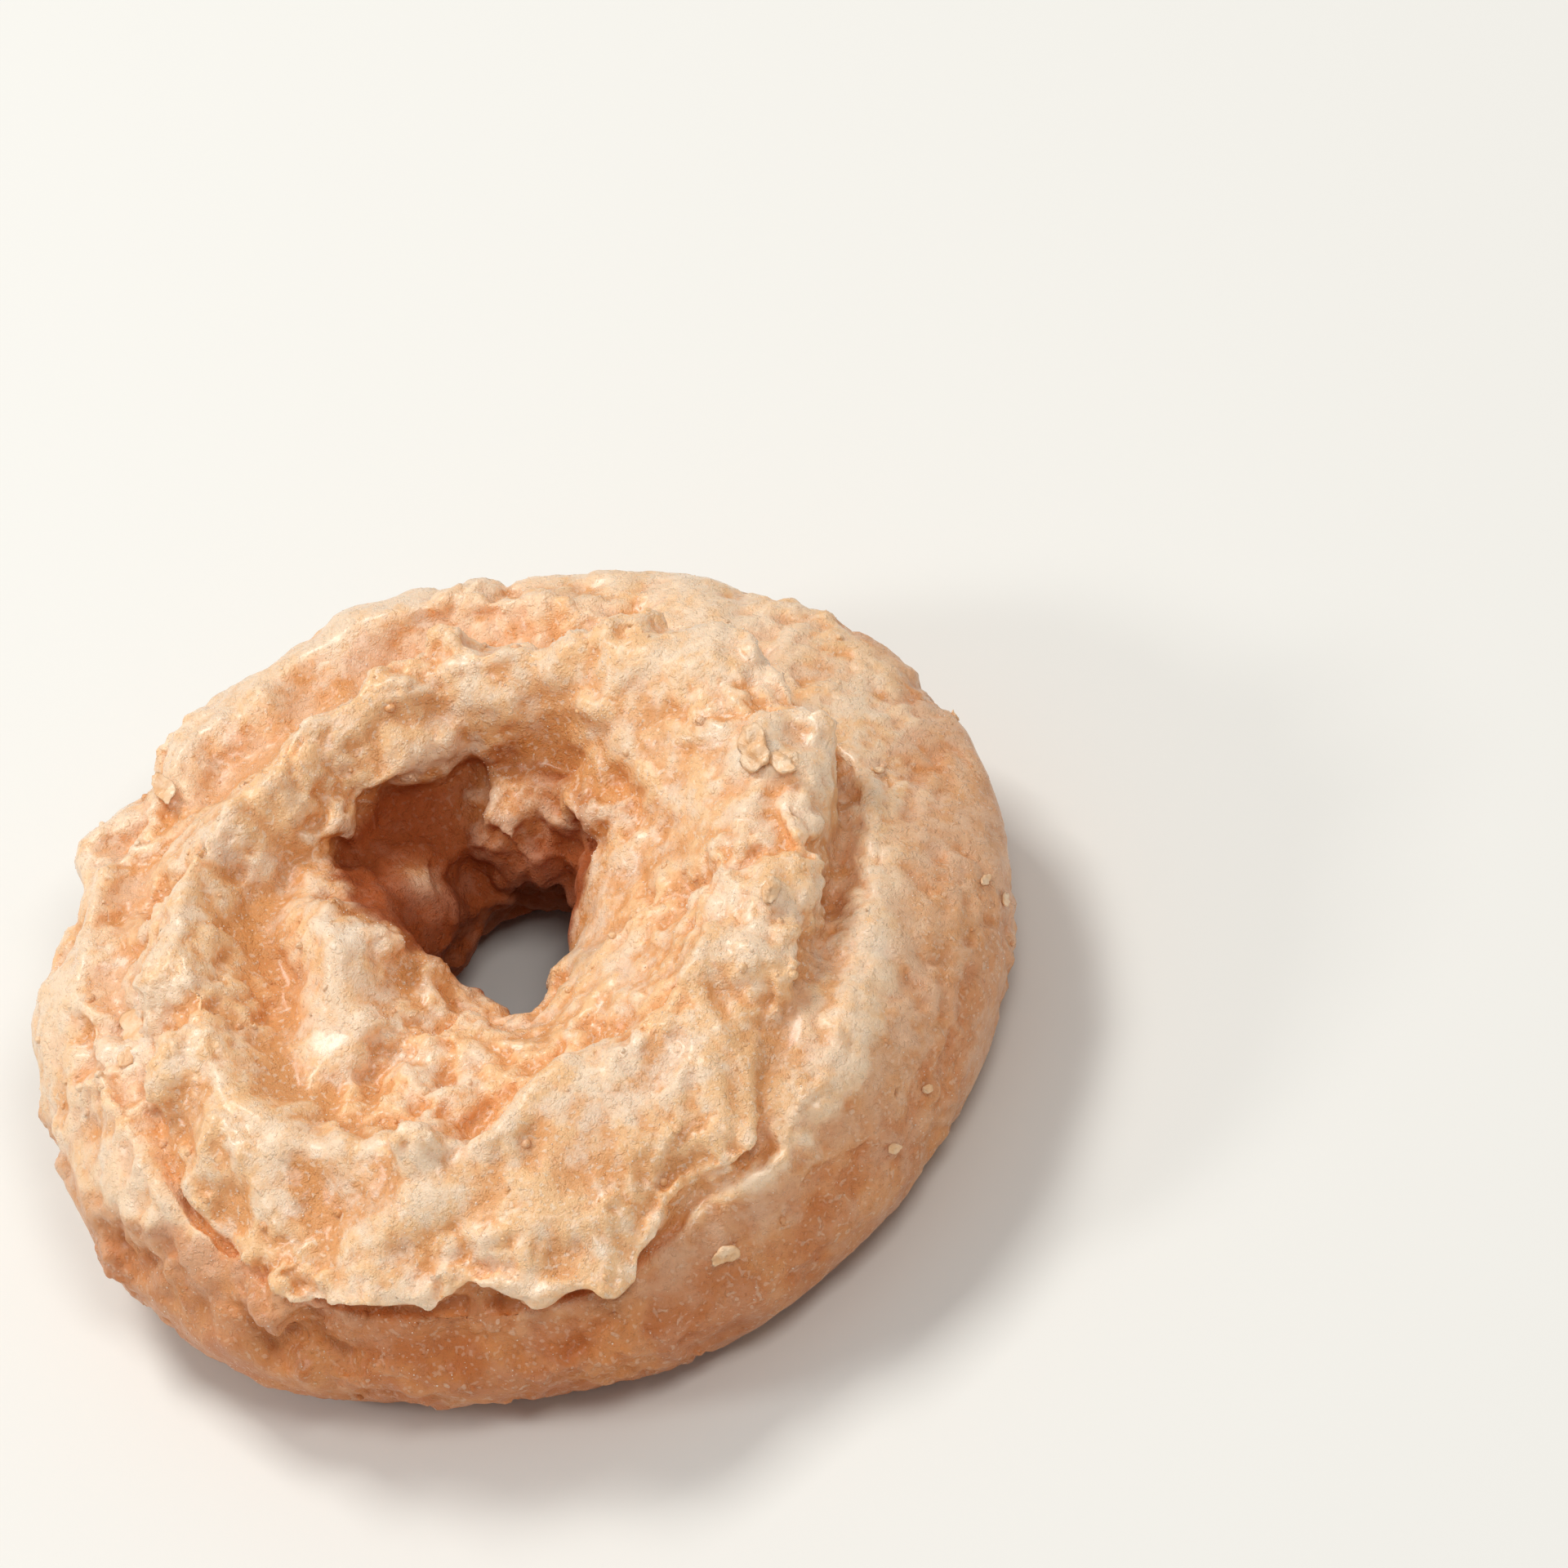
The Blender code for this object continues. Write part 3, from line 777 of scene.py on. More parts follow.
    def brown_mask(self, points: Array, share: Array, places: Array, ragged: Array) -> Array:
        """Where the base is brown: its own fried brown, which at the front and left also stands in for shade.

        Args:
            points: the crust's points in mm.
            share: their shares of the way round the section.
            places: their places round the ring, counted in knots.
            ragged: how far the brown's edge wanders, in mm.

        Returns:
            Numbers from 0 to about 1.
        """
        outside = (share > 0.8) | (share < 0.2)
        below = points[:, 2] + ragged - self.shape.round_ring(self.brown_below, places)
        brown = ramp(below, 1.0, -1.0) * (0.75 + 0.25 * ramp(below, -1.0, -8.0)) * outside
        base = ramp(points[:, 2] + ragged, self.base_brown_none, self.base_brown_full)
        return np.maximum(brown, base) * self.shape.round_ring(self.brown_and_shade, places)

    def hole_shade_mask(self, points: Array, normals: Array, share: Array, dark: Array) -> Array:
        """Painted shade: where the hole's wall is dark, and the underside by it, apart from the lit tops of
        its lumps.

        Args:
            points: the crust's points in mm.
            normals: its point normals.
            share: their shares of the way round the section.
            dark: how strong the painted shade is on the wall above its waist.

        Returns:
            Numbers from 0 to 1.
        """
        inside = share < self.inner_limit
        hole_shade = dark * inside + (1.0 - inside) * (share < self.dark_end)
        # Lumps' tops that face up are left out of the painted shade, as light falls on them.
        for form_name, (lift, reach) in self.lit_tops.items():
            form = self.shape.forms[form_name]
            away = points - (form.centre() + np.array([0.0, 0.0, lift]) + np.array(self.shape.offset))
            near_top = np.exp(-((away * away).sum(axis=1) / reach**2))
            hole_shade *= 1.0 - 0.9 * near_top * ramp(normals[:, 2], -0.1, 0.4)
        return hole_shade

    def toast_and_shade_mask(self, points: Array, angle: Array, share: Array, toast_and_shade: Array) -> Array:
        """Where the crust is darker: painted shade round the rim of the hole, and toasted patches along the
        back of the skirt.

        Args:
            points: the crust's points in mm.
            angle: their angles in radians.
            share: their shares of the way round the section.
            toast_and_shade: how strong the painted shade on the rim of the hole is.

        Returns:
            Numbers from 0 to 1.
        """
        toast_and_shade = toast_and_shade * (share < self.inner_limit)
        toast_and_shade *= 0.65 + 0.35 * ramp(crumb_noise(points, 6.0, SEED + 95), -0.4, 0.4)
        back = ramp(np.cos(angle - np.radians(self.toasted_side)), 0.55, 0.9) * ramp(share, 0.20, 0.12)
        patchy = ramp(crumb_noise(points, 7.0, SEED + 96), -0.5, 0.4)
        return np.maximum(toast_and_shade, self.toasted_back * back * patchy)


def read_points(mesh: bpy.types.Mesh) -> Array:
    """The mesh's points.

    Args:
        mesh: the mesh.

    Returns:
        Its points, one row each.
    """
    flat = np.empty(len(mesh.vertices) * 3)
    mesh.vertices.foreach_get("co", flat)
    return flat.reshape(-1, 3)


def write_points(mesh: bpy.types.Mesh, points: Array) -> None:
    """Moves the mesh's points."""
    mesh.vertices.foreach_set("co", points.astype(np.float32).ravel())
    mesh.update()


def read_normals(mesh: bpy.types.Mesh) -> Array:
    """The mesh's point normals.

    Args:
        mesh: the mesh.

    Returns:
        Its normals, one row each.
    """
    flat = np.empty(len(mesh.vertices) * 3)
    mesh.vertices.foreach_get("normal", flat)
    return flat.reshape(-1, 3)


def first_points(mesh: bpy.types.Mesh) -> Array:
    """The first point of each face.

    Args:
        mesh: the mesh.

    Returns:
        One point number for each face.
    """
    starts = np.empty(len(mesh.polygons), int)
    mesh.polygons.foreach_get("loop_start", starts)
    corners = np.empty(len(mesh.loops), int)
    mesh.loops.foreach_get("vertex_index", corners)
    return corners[starts]


def read_mask(mesh: bpy.types.Mesh, name: str) -> Array:
    """A mask kept on the mesh.

    Args:
        mesh: the mesh.
        name: the mask's name.

    Returns:
        One value for each point.
    """
    values = np.empty(len(mesh.vertices))
    mesh.attributes[name].data.foreach_get("value", values)
    return values


def store_mask(mesh: bpy.types.Mesh, name: str, values: Array) -> None:
    """Keeps a mask on the mesh as a point attribute."""
    attribute = mesh.attributes.new(name, "FLOAT", "POINT")
    attribute.data.foreach_set("value", values.astype(np.float32))


def apply_modifiers(piece: bpy.types.Object) -> None:
    """Makes the evaluated mesh the piece's own, with no modifier left.

    Args:
        piece: the piece, whose mesh is replaced.
    """
    graph = bpy.context.evaluated_depsgraph_get()
    made = bpy.data.meshes.new_from_object(piece.evaluated_get(graph))
    piece.modifiers.clear()
    old, piece.data = piece.data, made
    bpy.data.meshes.remove(old)
    made.name = piece.name


def hollow_by(mesh: bpy.types.Mesh, points: Array, normals: Array, rounds: int) -> Array:
    """How deep each point lies under its smoothed surroundings.

    Args:
        mesh: the mesh.
        points: its points in mm.
        normals: its point normals.
        rounds: how many times the surroundings are averaged.

    Returns:
        Depths in mm: above 0 in hollows, below 0 on bumps.
    """
    ends = np.empty(len(mesh.edges) * 2, int)
    mesh.edges.foreach_get("vertices", ends)
    a, b = ends.reshape(-1, 2).T
    count = np.bincount(a, minlength=len(points)) + np.bincount(b, minlength=len(points))
    smooth = points.copy()
    for _ in range(rounds):
        for k in range(3):
            column = smooth[:, k]
            total = np.bincount(a, column[b], len(points)) + np.bincount(b, column[a], len(points))
            smooth[:, k] = 0.4 * column + 0.6 * total / count
    return ((smooth - points) * normals).sum(axis=1)


class Nodes:
    """A short way to place and join a material's or a group's nodes."""

    def __init__(self, tree: bpy.types.NodeTree) -> None:
        """Keeps the tree that the nodes go in."""
        self.tree = tree

    def add(
        self, kind: str, inputs: dict[str | int, object] | None = None, **settings: object
    ) -> bpy.types.Node:
        """Places a node.

        Args:
            kind: the node's type.
            inputs: values or sockets for its inputs, by name or number.
            settings: its other settings.

        Returns:
            The node.
        """
        node = self.tree.nodes.new(kind)
        for name, value in settings.items():
            setattr(node, name, value)
        for key, value in (inputs or {}).items():
            socket = node.inputs[key]
            if isinstance(value, bpy.types.NodeSocket):
                self.tree.links.new(value, socket)
            else:
                socket.default_value = value
        return node

    def math(self, operation: str, *values: object) -> bpy.types.NodeSocket:
        """A maths node's result.

        Args:
            operation: what it does; a plus sign at the end clamps the result to 0 to 1.
            values: its numbers or sockets.

        Returns:
            The result.
        """
        node = self.add("ShaderNodeMath", dict(enumerate(values)), operation=operation.rstrip("+"))
        node.use_clamp = operation.endswith("+")
        return node.outputs[0]

    def mix(self, share: object, a: object, b: object) -> bpy.types.NodeSocket:
        """A colour mixed from two."""
        return self.add("ShaderNodeMix", {0: share, 6: a, 7: b}, data_type="RGBA").outputs[2]

    def step(self, value: object, low: float, high: float) -> bpy.types.NodeSocket:
        """A smooth step.

        Args:
            value: the number or socket to map.
            low: the value that gives 0.
            high: the value that gives 1, which may be less than low.

        Returns:
            A number from 0 to 1.
        """
        node = self.add(
            "ShaderNodeMapRange",
            {"Value": value, "From Min": low, "From Max": high},
            interpolation_type="SMOOTHSTEP",
        )
        return node.outputs[0]

    def noise(
        self, place: object, scale: float, detail: float = 2.0, rough: float = 0.5
    ) -> bpy.types.NodeSocket:
        """Noise.

        Args:
            place: where it is read.
            scale: how fine it is.
            detail: how many finer noises are added.
            rough: how strong each finer noise is.

        Returns:
            A number from 0 to 1.
        """
        node = self.add(
            "ShaderNodeTexNoise",
            {"Vector": place, "Scale": scale, "Detail": detail, "Roughness": rough},
        )
        return node.outputs["Fac"]

    def mask(self, name: str) -> bpy.types.NodeSocket:
        """A mask stored on the mesh."""
        return self.add("ShaderNodeAttribute", attribute_name=name).outputs["Fac"]

    def group(self, name: str, place: object, **inputs: object) -> bpy.types.Node:
        """A node group, with the place and its other inputs given."""
        return self.add("ShaderNodeGroup", {"Place": place, **inputs}, node_tree=bpy.data.node_groups[name])

    def bump(self, height: object, strength: float, distance: float) -> bpy.types.NodeSocket:
        """The normal of a surface that is raised by this height."""
        sizes = {"Height": height, "Strength": strength, "Distance": distance}
        return self.add("ShaderNodeBump", sizes).outputs["Normal"]


def new_group(name: str, inputs: dict[str, float], outputs: Sequence[str]) -> bpy.types.NodeTree:
    """Starts a shader node group.

    Args:
        name: the group's name.
        inputs: its number inputs and their defaults; Place, a vector, is always there.
        outputs: its number outputs.

    Returns:
        The group's tree, with its input and output nodes.
    """
    tree = bpy.data.node_groups.new(name, "ShaderNodeTree")
    tree.interface.new_socket("Place", in_out="INPUT", socket_type="NodeSocketVector")
    for socket_name, default in inputs.items():
        socket = tree.interface.new_socket(socket_name, in_out="INPUT", socket_type="NodeSocketFloat")
        socket.default_value = default
    for socket_name in outputs:
        tree.interface.new_socket(socket_name, in_out="OUTPUT", socket_type="NodeSocketFloat")
    tree.nodes.new("NodeGroupInput")
    tree.nodes.new("NodeGroupOutput")
    return tree


def crumb_group() -> bpy.types.NodeTree:
    """Fine crumb: rounded grains with creases between them, over soft unevenness.

    Returns:
        The group, with Place and Scale in, and Height and Grain (how much a grain shows) out.
    """
    tree = new_group("fine_crumb", {"Scale": 900.0}, ("Height", "Grain"))
    n = Nodes(tree)
    given, result = tree.nodes["Group Input"], tree.nodes["Group Output"]
    place, scale = given.outputs["Place"], given.outputs["Scale"]
    soft = n.noise(place, scale, 2.0, 0.75)
    folded = n.math("ABSOLUTE", n.math("SUBTRACT", soft, 0.5))
    tree.links.new(n.math("MULTIPLY_ADD", folded, 2.4, soft), result.inputs["Height"])
    grain = n.noise(place, n.math("MULTIPLY", scale, 1.4), 0.0)
    tree.links.new(n.step(grain, 0.62, 0.76), result.inputs["Grain"])
    return tree


def film_group() -> bpy.types.NodeTree:
    """Dried glaze film: milky wisps where the glaze is thick, and small dots, beads of glaze painted bright
    as glints.

    Returns:
        The group, with Place and Cover in, and Film and the glint dots out.
    """
    tree = new_group("glaze_film", {"Cover": 0.5}, ("Film", "Glint Dots"))
    n = Nodes(tree)
    given, result = tree.nodes["Group Input"], tree.nodes["Group Output"]
    place, cover = given.outputs["Place"], given.outputs["Cover"]
    cloud = n.noise(place, 110.0, 2.0, 0.6)
    wisps = n.noise(place, 420.0, 3.0, 0.65)
    both = n.math("ADD", n.math("MULTIPLY", cloud, 0.6), n.math("MULTIPLY", wisps, 0.8))
    lifted = n.math("ADD", both, n.math("MULTIPLY", n.math("SUBTRACT", cover, 0.5), 0.6))
    tree.links.new(n.step(lifted, 0.62, 0.88), result.inputs["Film"])
    glint_dots = n.noise(place, 1500.0, 0.0)
    tree.links.new(n.step(glint_dots, 0.68, 0.78), result.inputs["Glint Dots"])
    return tree


@dataclass(frozen=True)
class GlazeFinish:
    """Dried sugar glaze, whitish and a little see-through."""

    name: str
    colour: Colour = (0.94, 0.68, 0.44, 1.0)
    warmer: Colour = (0.92, 0.74, 0.55, 1.0)
    roughness: float = 0.35
    coat: float = 0.3
    coat_roughness: float = 0.2
    bump: float = 0.8
    bump_distance: float = 0.0001
    crumb_scale: float = 2600.0
    cloud_scale: float = 700.0

    def material(self) -> bpy.types.Material:
        """Makes the glaze's material.

        Returns:
            The material.
        """
        material = bpy.data.materials.new(self.name)
        material.use_nodes = True
        tree = material.node_tree
        n = Nodes(tree)
        shader = tree.nodes["Principled BSDF"]
        place = n.add("ShaderNodeTexCoord").outputs["Object"]
        cloud = n.noise(place, self.cloud_scale, 4.0, 0.6)
        warm = tuple(c * f for c, f in zip(self.colour, self.warmer))
        tree.links.new(n.mix(n.step(cloud, 0.65, 0.35), self.colour, warm), shader.inputs["Base Color"])
        rough = n.math("MULTIPLY_ADD", cloud, 0.3, self.roughness - 0.1)
        tree.links.new(rough, shader.inputs["Roughness"])
        crumb = n.group("fine_crumb", place, Scale=self.crumb_scale)
        raised = n.bump(crumb.outputs["Height"], self.bump, self.bump_distance)
        tree.links.new(raised, shader.inputs["Normal"])
        shader.inputs["Coat Weight"].default_value = self.coat
        shader.inputs["Coat Roughness"].default_value = self.coat_roughness
        return material


@dataclass(frozen=True)
class Flake:
    """One flake or lump of dried glaze, near this place on the crust (mm and degrees)."""

    place: tuple[float, float, float]
    length: float
    width: float
    turn: float = 0.0
    curl: float = 0.0
    thick: float = 0.35
    rough: float = 0.15


@dataclass
class GlazeFlakes:
    """Dried glaze that has come loose or set as plates and rough patches on the crust."""

    flakes: dict[str, Flake] = field(
        default_factory=lambda: {
            "curled_flake": Flake((-22.6, 30.1, 26.5), 3.4, 2.0, 100.0, 1.1, 0.35, 0.2),
            "rough_patch": Flake((27.9, -2.9, 31.5), 5.2, 3.2, 75.0, 0.1, 0.35, 0.5),
            "patch_edge": Flake((29.6, -5.6, 30.8), 3.4, 1.8, 110.0, 0.5, 0.5, 0.3),
            "edge_scrap": Flake((23.8, -19.0, 30.2), 2.6, 1.6, 60.0, 0.4, 0.6, 0.35),
            "base_scrap": Flake((6.3, -44.5, 15.5), 2.4, 1.6, 0.0, 0.3, 0.4, 0.45),
            "side_chip": Flake((41.2, -15.3, 16.0), 1.6, 0.9, 40.0, 0.3, 0.3, 0.25),
            "side_chip_low": Flake((42.8, -16.5, 13.5), 1.9, 0.8, 70.0, 0.2, 0.3, 0.25),
            "front_chip": Flake((24.2, -38.4, 13.0), 1.5, 1.0, 10.0, 0.3, 0.3, 0.25),
            "front_right_chip": Flake((30.0, -35.5, 14.0), 1.3, 0.8, 30.0, 0.3, 0.3, 0.25),
            "right_chip": Flake((45.7, 5.7, 15.0), 1.2, 0.8, 0.0, 0.2, 0.3, 0.25),
            "skirt_chip": Flake((37.7, -1.9, 21.5), 1.6, 0.9, 20.0, 0.2, 0.3, 0.2),
            "left_plate": Flake((-34.6, 4.7, 25.5), 4.6, 2.8, 85.0, 0.15, 0.3, 0.1),
            "left_plate_shard": Flake((-36.0, 1.6, 24.5), 2.2, 1.5, 40.0, 0.2, 0.4, 0.1),
        }
    )
    spokes: int = 28
    rings: int = 7
    clearance: float = 0.1
    under_reach: float = 0.94
    lean_up: float = 0.35
    first_seed: int = 200

    def build(self, crust: bpy.types.Object) -> bpy.types.Object:
        """Makes every flake as one piece.

        Args:
            crust: the crust that they lie on.

        Returns:
            The piece.
        """
        tree = BVHTree.FromObject(crust, bpy.context.evaluated_depsgraph_get())
        sheet = bmesh.new()
        for number, flake in enumerate(self.flakes.values()):
            self.add_flake(sheet, tree, flake, self.first_seed + number)
        return finished_piece(sheet, "glaze_flakes")

    def add_flake(self, sheet: bmesh.types.BMesh, tree: BVHTree, flake: Flake, seed: int) -> None:
        """Adds one flake, as a closed plate that follows the crust and curls at its end.

        Args:
            sheet: the mesh to add to.
            tree: the crust's faces.
            flake: the flake's sizes.
            seed: which ragged outline it gets.
        """
        spot, normal = tree.find_nearest(Vector(flake.place) * MM)[:2]
        up = (normal + Vector((0.0, 0.0, self.lean_up))).normalized()
        side = up.cross(Vector((0.0, 1.0, 0.0))).normalized()
        along = Matrix.Rotation(math.radians(flake.turn), 3, up) @ side
        across = up.cross(along)
        turn = np.arange(self.spokes) / self.spokes * 2 * np.pi
        rim = np.stack([np.cos(turn), np.sin(turn), 0 * turn], axis=1)
        ragged = 1 + 0.30 * crumb_noise(rim, 0.9, seed) + 0.14 * crumb_noise(rim, 0.35, seed + 1)
        layers = []
        for lift, reach in ((1.0, 1.0), (-1.0, self.under_reach)):
            rows = []
            for ring in range(1, self.rings + 1):
                share = ring / self.rings * reach
                u = share * ragged * np.cos(turn) * flake.length / 2
                v = share * ragged * np.sin(turn) * flake.width / 2
                height = self.height(flake, u, v, share, lift, seed) + self.clearance
                places = [along * a + across * b + up * h for a, b, h in zip(u, v, height)]
                rows.append([sheet.verts.new(spot + place * MM) for place in places])
            rise = lift * flake.thick * 0.5 + self.clearance + 0.3 * flake.rough * (lift > 0)
            middle = sheet.verts.new(spot + up * rise * MM)
            layers.append((middle, rows))
        self.close(sheet, layers)

    def height(self, flake: Flake, u: Array, v: Array, share: float, lift: float, seed: int) -> Array:
        """How high one ring of a flake's points stands.

        Args:
            flake: the flake's sizes.
            u: places along the flake, in mm.
            v: places across it, in mm.
            share: how far out the ring is, from 0 to 1.
            lift: 1 for the top and -1 for the underside.
            seed: which roughness it gets.

        Returns:
            Heights in mm, one for each place.
        """
        places = np.stack([u, v, 0 * u + flake.place[0]], axis=1)
        bumps = flake.rough * (crumb_noise(places, 1.1, seed + 2) + 0.4)
        bumps += 0.4 * flake.rough * crumb_noise(places, 0.5, seed + 3)
        edge = flake.thick * 0.5 * math.sqrt(max(0.0, 1 - 0.8 * share**4))
        curl = flake.curl * (u / flake.length * 2) ** 2 * (u > 0)
        return (bumps if lift > 0 else 0 * u) + curl + lift * edge

    def close(self, sheet: bmesh.types.BMesh, layers: Sequence[tuple]) -> None:
        """Joins a flake's points into a closed plate.

        Args:
            sheet: the mesh that holds the points.
            layers: the top and the underside, each a middle point and its rings of points.
        """
        for (middle, rows), flip in zip(layers, (False, True)):
            for k in range(self.spokes):
                after = (k + 1) % self.spokes
                faces = [(middle, rows[0][k], rows[0][after])]
                for inner, outer in zip(rows, rows[1:]):
                    faces.append((inner[k], outer[k], outer[after], inner[after]))
                for face in faces:
                    sheet.faces.new(face[::-1] if flip else face)
        top, bottom = layers[0][1][-1], layers[1][1][-1]
        for k in range(self.spokes):
            after = (k + 1) % self.spokes
            sheet.faces.new((top[k], bottom[k], bottom[after], top[after]))


@dataclass
class Scatter:
    """Small rounded bits sunk into the crust, such as crumbs or beads of glaze (mm)."""

    name: str
    count: int
    smallest: float
    largest: float
    subdivisions: int
    sunk: float
    seed: int
    lowest: float = 2.0
    crown_from: float = 20.0
    crown_share: float = 0.5
    cluster_size: float = 7.0
    mostly_small: float = 2.5
    stretch: float = 0.35
    rugged: float = 0.22

    def build(self, crust: bpy.types.Object) -> bpy.types.Object:
        """Makes every bit as one piece.

        Args:
            crust: the crust that they lie on.

        Returns:
            The piece.
        """
        mesh = crust.data
        points, normals = read_points(mesh), read_normals(mesh)
        random = np.random.default_rng(self.seed)
        weight = self.crowding(mesh, points, normals)
        chosen = random.choice(len(points), self.count, replace=False, p=weight / weight.sum())
        shape, faces = self.ball()
        size = self.smallest + (self.largest - self.smallest) * random.random(self.count) ** self.mostly_small
        stretch = 1 + self.stretch * (random.random((self.count, 3)) - 0.5)
        rugged = shape * (1 + self.rugged * crumb_noise(shape, 0.8, self.seed + 1))[:, None]
        axes = np.linalg.qr(random.normal(size=(self.count, 3, 3)))[0]
        bits = np.einsum("nij,nvj->nvi", axes, rugged[None] * stretch[:, None] * size[:, None, None] * MM)
        rest = points[chosen] + normals[chosen] * (size * (0.5 - self.sunk) * MM)[:, None]
        bits += rest[:, None]
        low, high = (np.array(corner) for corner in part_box(CAD_NODE))
        bits = np.clip(bits.reshape(-1, 3), low, high)
        loops = (faces[None] + (np.arange(self.count) * len(shape))[:, None, None]).reshape(-1, 3)
        made = bpy.data.meshes.new(self.name)
        made.from_pydata(bits.tolist(), [], loops.tolist())
        made.shade_smooth()
        for name in MASKS:
            store_mask(made, name, np.repeat(read_mask(mesh, name)[chosen], len(shape)))
        piece = bpy.data.objects.new(self.name, made)
        bpy.context.scene.collection.objects.link(piece)
        return piece

    def crowding(self, mesh: bpy.types.Mesh, points: Array, normals: Array) -> Array:
        """How likely a bit is to lie at each of the crust's points.

        Args:
            mesh: the crust's mesh.
            points: its points in metres.
            normals: its point normals.

        Returns:
            Weights, 0 in the hole's painted shade, low on the base and under overhangs.
        """
        open_air = (points[:, 2] > self.lowest * MM) & (normals[:, 2] > -0.3)
        open_air &= read_mask(mesh, "hole_shade") < 0.6
        cluster = ramp(crumb_noise(points / MM, self.cluster_size, self.seed), -0.2, 0.5)
        crown = points[:, 2] > self.crown_from * MM
        return open_air * (0.25 + cluster) * (1.0 - self.crown_share + self.crown_share * crown)

    def ball(self) -> tuple[Array, Array]:
        """The round shape that every bit starts from.

        Returns:
            Its points, of radius 1, and its faces.
        """
        ball = bmesh.new()
        bmesh.ops.create_icosphere(ball, subdivisions=self.subdivisions, radius=1.0)
        points = np.array([v.co for v in ball.verts])
        faces = np.array([[v.index for v in f.verts] for f in ball.faces])
        ball.free()
        return points, faces


def finished_piece(sheet: bmesh.types.BMesh, name: str) -> bpy.types.Object:
    """Turns a bmesh into a smooth-shaded piece of the scene.

    Args:
        sheet: the mesh, which is freed.
        name: the piece's name.

    Returns:
        The piece.
    """
    bmesh.ops.recalc_face_normals(sheet, faces=sheet.faces)
    mesh = bpy.data.meshes.new(name)
    sheet.to_mesh(mesh)
    sheet.free()
    low, high = (np.array(corner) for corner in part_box(CAD_NODE))
    write_points(mesh, np.clip(read_points(mesh), low, high))
    mesh.shade_smooth()
    piece = bpy.data.objects.new(name, mesh)
    bpy.context.scene.collection.objects.link(piece)
    return piece


@dataclass(frozen=True)
class DoughFinish:
    """Fried dough under a thin dried glaze."""

    name: str = "fried_dough"
    pale: Colour = (0.89, 0.475, 0.215, 1.0)
    cream: Colour = (0.94, 0.57, 0.285, 1.0)
    # Golden: painted shade in hollows and valleys, and random drift in the tone.
    golden_shade: Colour = (0.77, 0.345, 0.12, 1.0)
    # Painted shade on the hole's rim and in listed spots, and the toasted back of the skirt.
    toast_shade_colour: Colour = (0.70, 0.29, 0.08, 1.0)
    brown: Colour = (0.55, 0.165, 0.038, 1.0)
    tan: Colour = (0.66, 0.245, 0.070, 1.0)
    # Painted shade: the colour of the hole's wall and the underside by it.
    dark: Colour = (0.33, 0.066, 0.010, 1.0)
    # Milky dried glaze, and painted glints: bright specks on grains and dots of the pale bumps, and a painted
    # reflection on the glazed lump.
    milk_and_glint: Colour = (0.97, 0.81, 0.63, 1.0)
    roughness: float = 0.44
    deep_rougher: float = 0.35
    specular: float = 0.32
    coat_roughness: float = 0.26
    coat_ior: float = 1.45
    subsurface: float = 0.4
    subsurface_scale: float = 0.0020
    subsurface_radius: tuple[float, float, float] = (1.0, 0.50, 0.25)
    bump: float = 0.8
    bump_distance: float = 0.00026
    crumb_scale: float = 1500.0
    drift_scale: float = 60.0
    speck_scale: float = 900.0
    blotch_scale: float = 190.0
    patch_scale: float = 300.0
    wet_scale: float = 160.0

    def material(self) -> bpy.types.Material:
        """Makes the crust's material.

        Returns:
            The material.
        """
        material = bpy.data.materials.new(self.name)
        material.use_nodes = True
        tree = material.node_tree
        n = Nodes(tree)
        shader = tree.nodes["Principled BSDF"]
        place = n.add("ShaderNodeTexCoord").outputs["Object"]
        masks = {name: n.mask(name) for name in MASKS}
        speck = n.noise(place, self.speck_scale, 2.0, 0.65)
        crumb = n.group("fine_crumb", place, Scale=self.crumb_scale)
        tone_and_crease_shade = self.tone_and_crease_shade(n, place, speck, masks)
        colour = self.fried_colour(n, place, speck, tone_and_crease_shade, masks)
        milk_and_glint = self.milk_and_glint_cover(n, place, crumb.outputs["Grain"], tone_and_crease_shade, masks)
        tree.links.new(n.mix(milk_and_glint, colour, self.milk_and_glint), shader.inputs["Base Color"])

        hole_shade = masks["hole_shade"]
        rough = n.math("MULTIPLY_ADD", n.math("SUBTRACT", speck, 0.5), 0.3, self.roughness)
        tree.links.new(n.math("MULTIPLY_ADD", hole_shade, self.deep_rougher, rough), shader.inputs["Roughness"])
        wet = n.math("MULTIPLY_ADD+", n.noise(place, self.wet_scale, 1.0, 0.5), 1.6, -0.3)
        dry = n.math("SUBTRACT+", n.math("MULTIPLY_ADD", masks["brown"], -0.5, 1.0), hole_shade)
        tree.links.new(n.math("MULTIPLY", wet, dry), shader.inputs["Coat Weight"])
        raised = n.bump(crumb.outputs["Height"], self.bump, self.bump_distance)
        tree.links.new(raised, shader.inputs["Normal"])
        shader.inputs["Specular IOR Level"].default_value = self.specular
        shader.inputs["Coat Roughness"].default_value = self.coat_roughness
        shader.inputs["Coat IOR"].default_value = self.coat_ior
        shader.subsurface_method = "BURLEY"
        shader.inputs["Subsurface Weight"].default_value = self.subsurface
        shader.inputs["Subsurface Scale"].default_value = self.subsurface_scale
        shader.inputs["Subsurface Radius"].default_value = self.subsurface_radius
        return material

    def tone_and_crease_shade(self, n: Nodes, place: Socket, speck: Socket, masks: dict[str, Socket]) -> Socket:
        """Painted shade in the creases: how golden the dough is made, from the pale bumps to the golden
        hollows, with random drift and speck.

        Args:
            n: the material's nodes.
            place: where the patterns are read.
            speck: fine noise.
            masks: the crust's masks.

        Returns:
            A number, about 0 on bumps and 1 in hollows.
        """
        drift = n.noise(place, self.drift_scale, 2.0, 0.55)
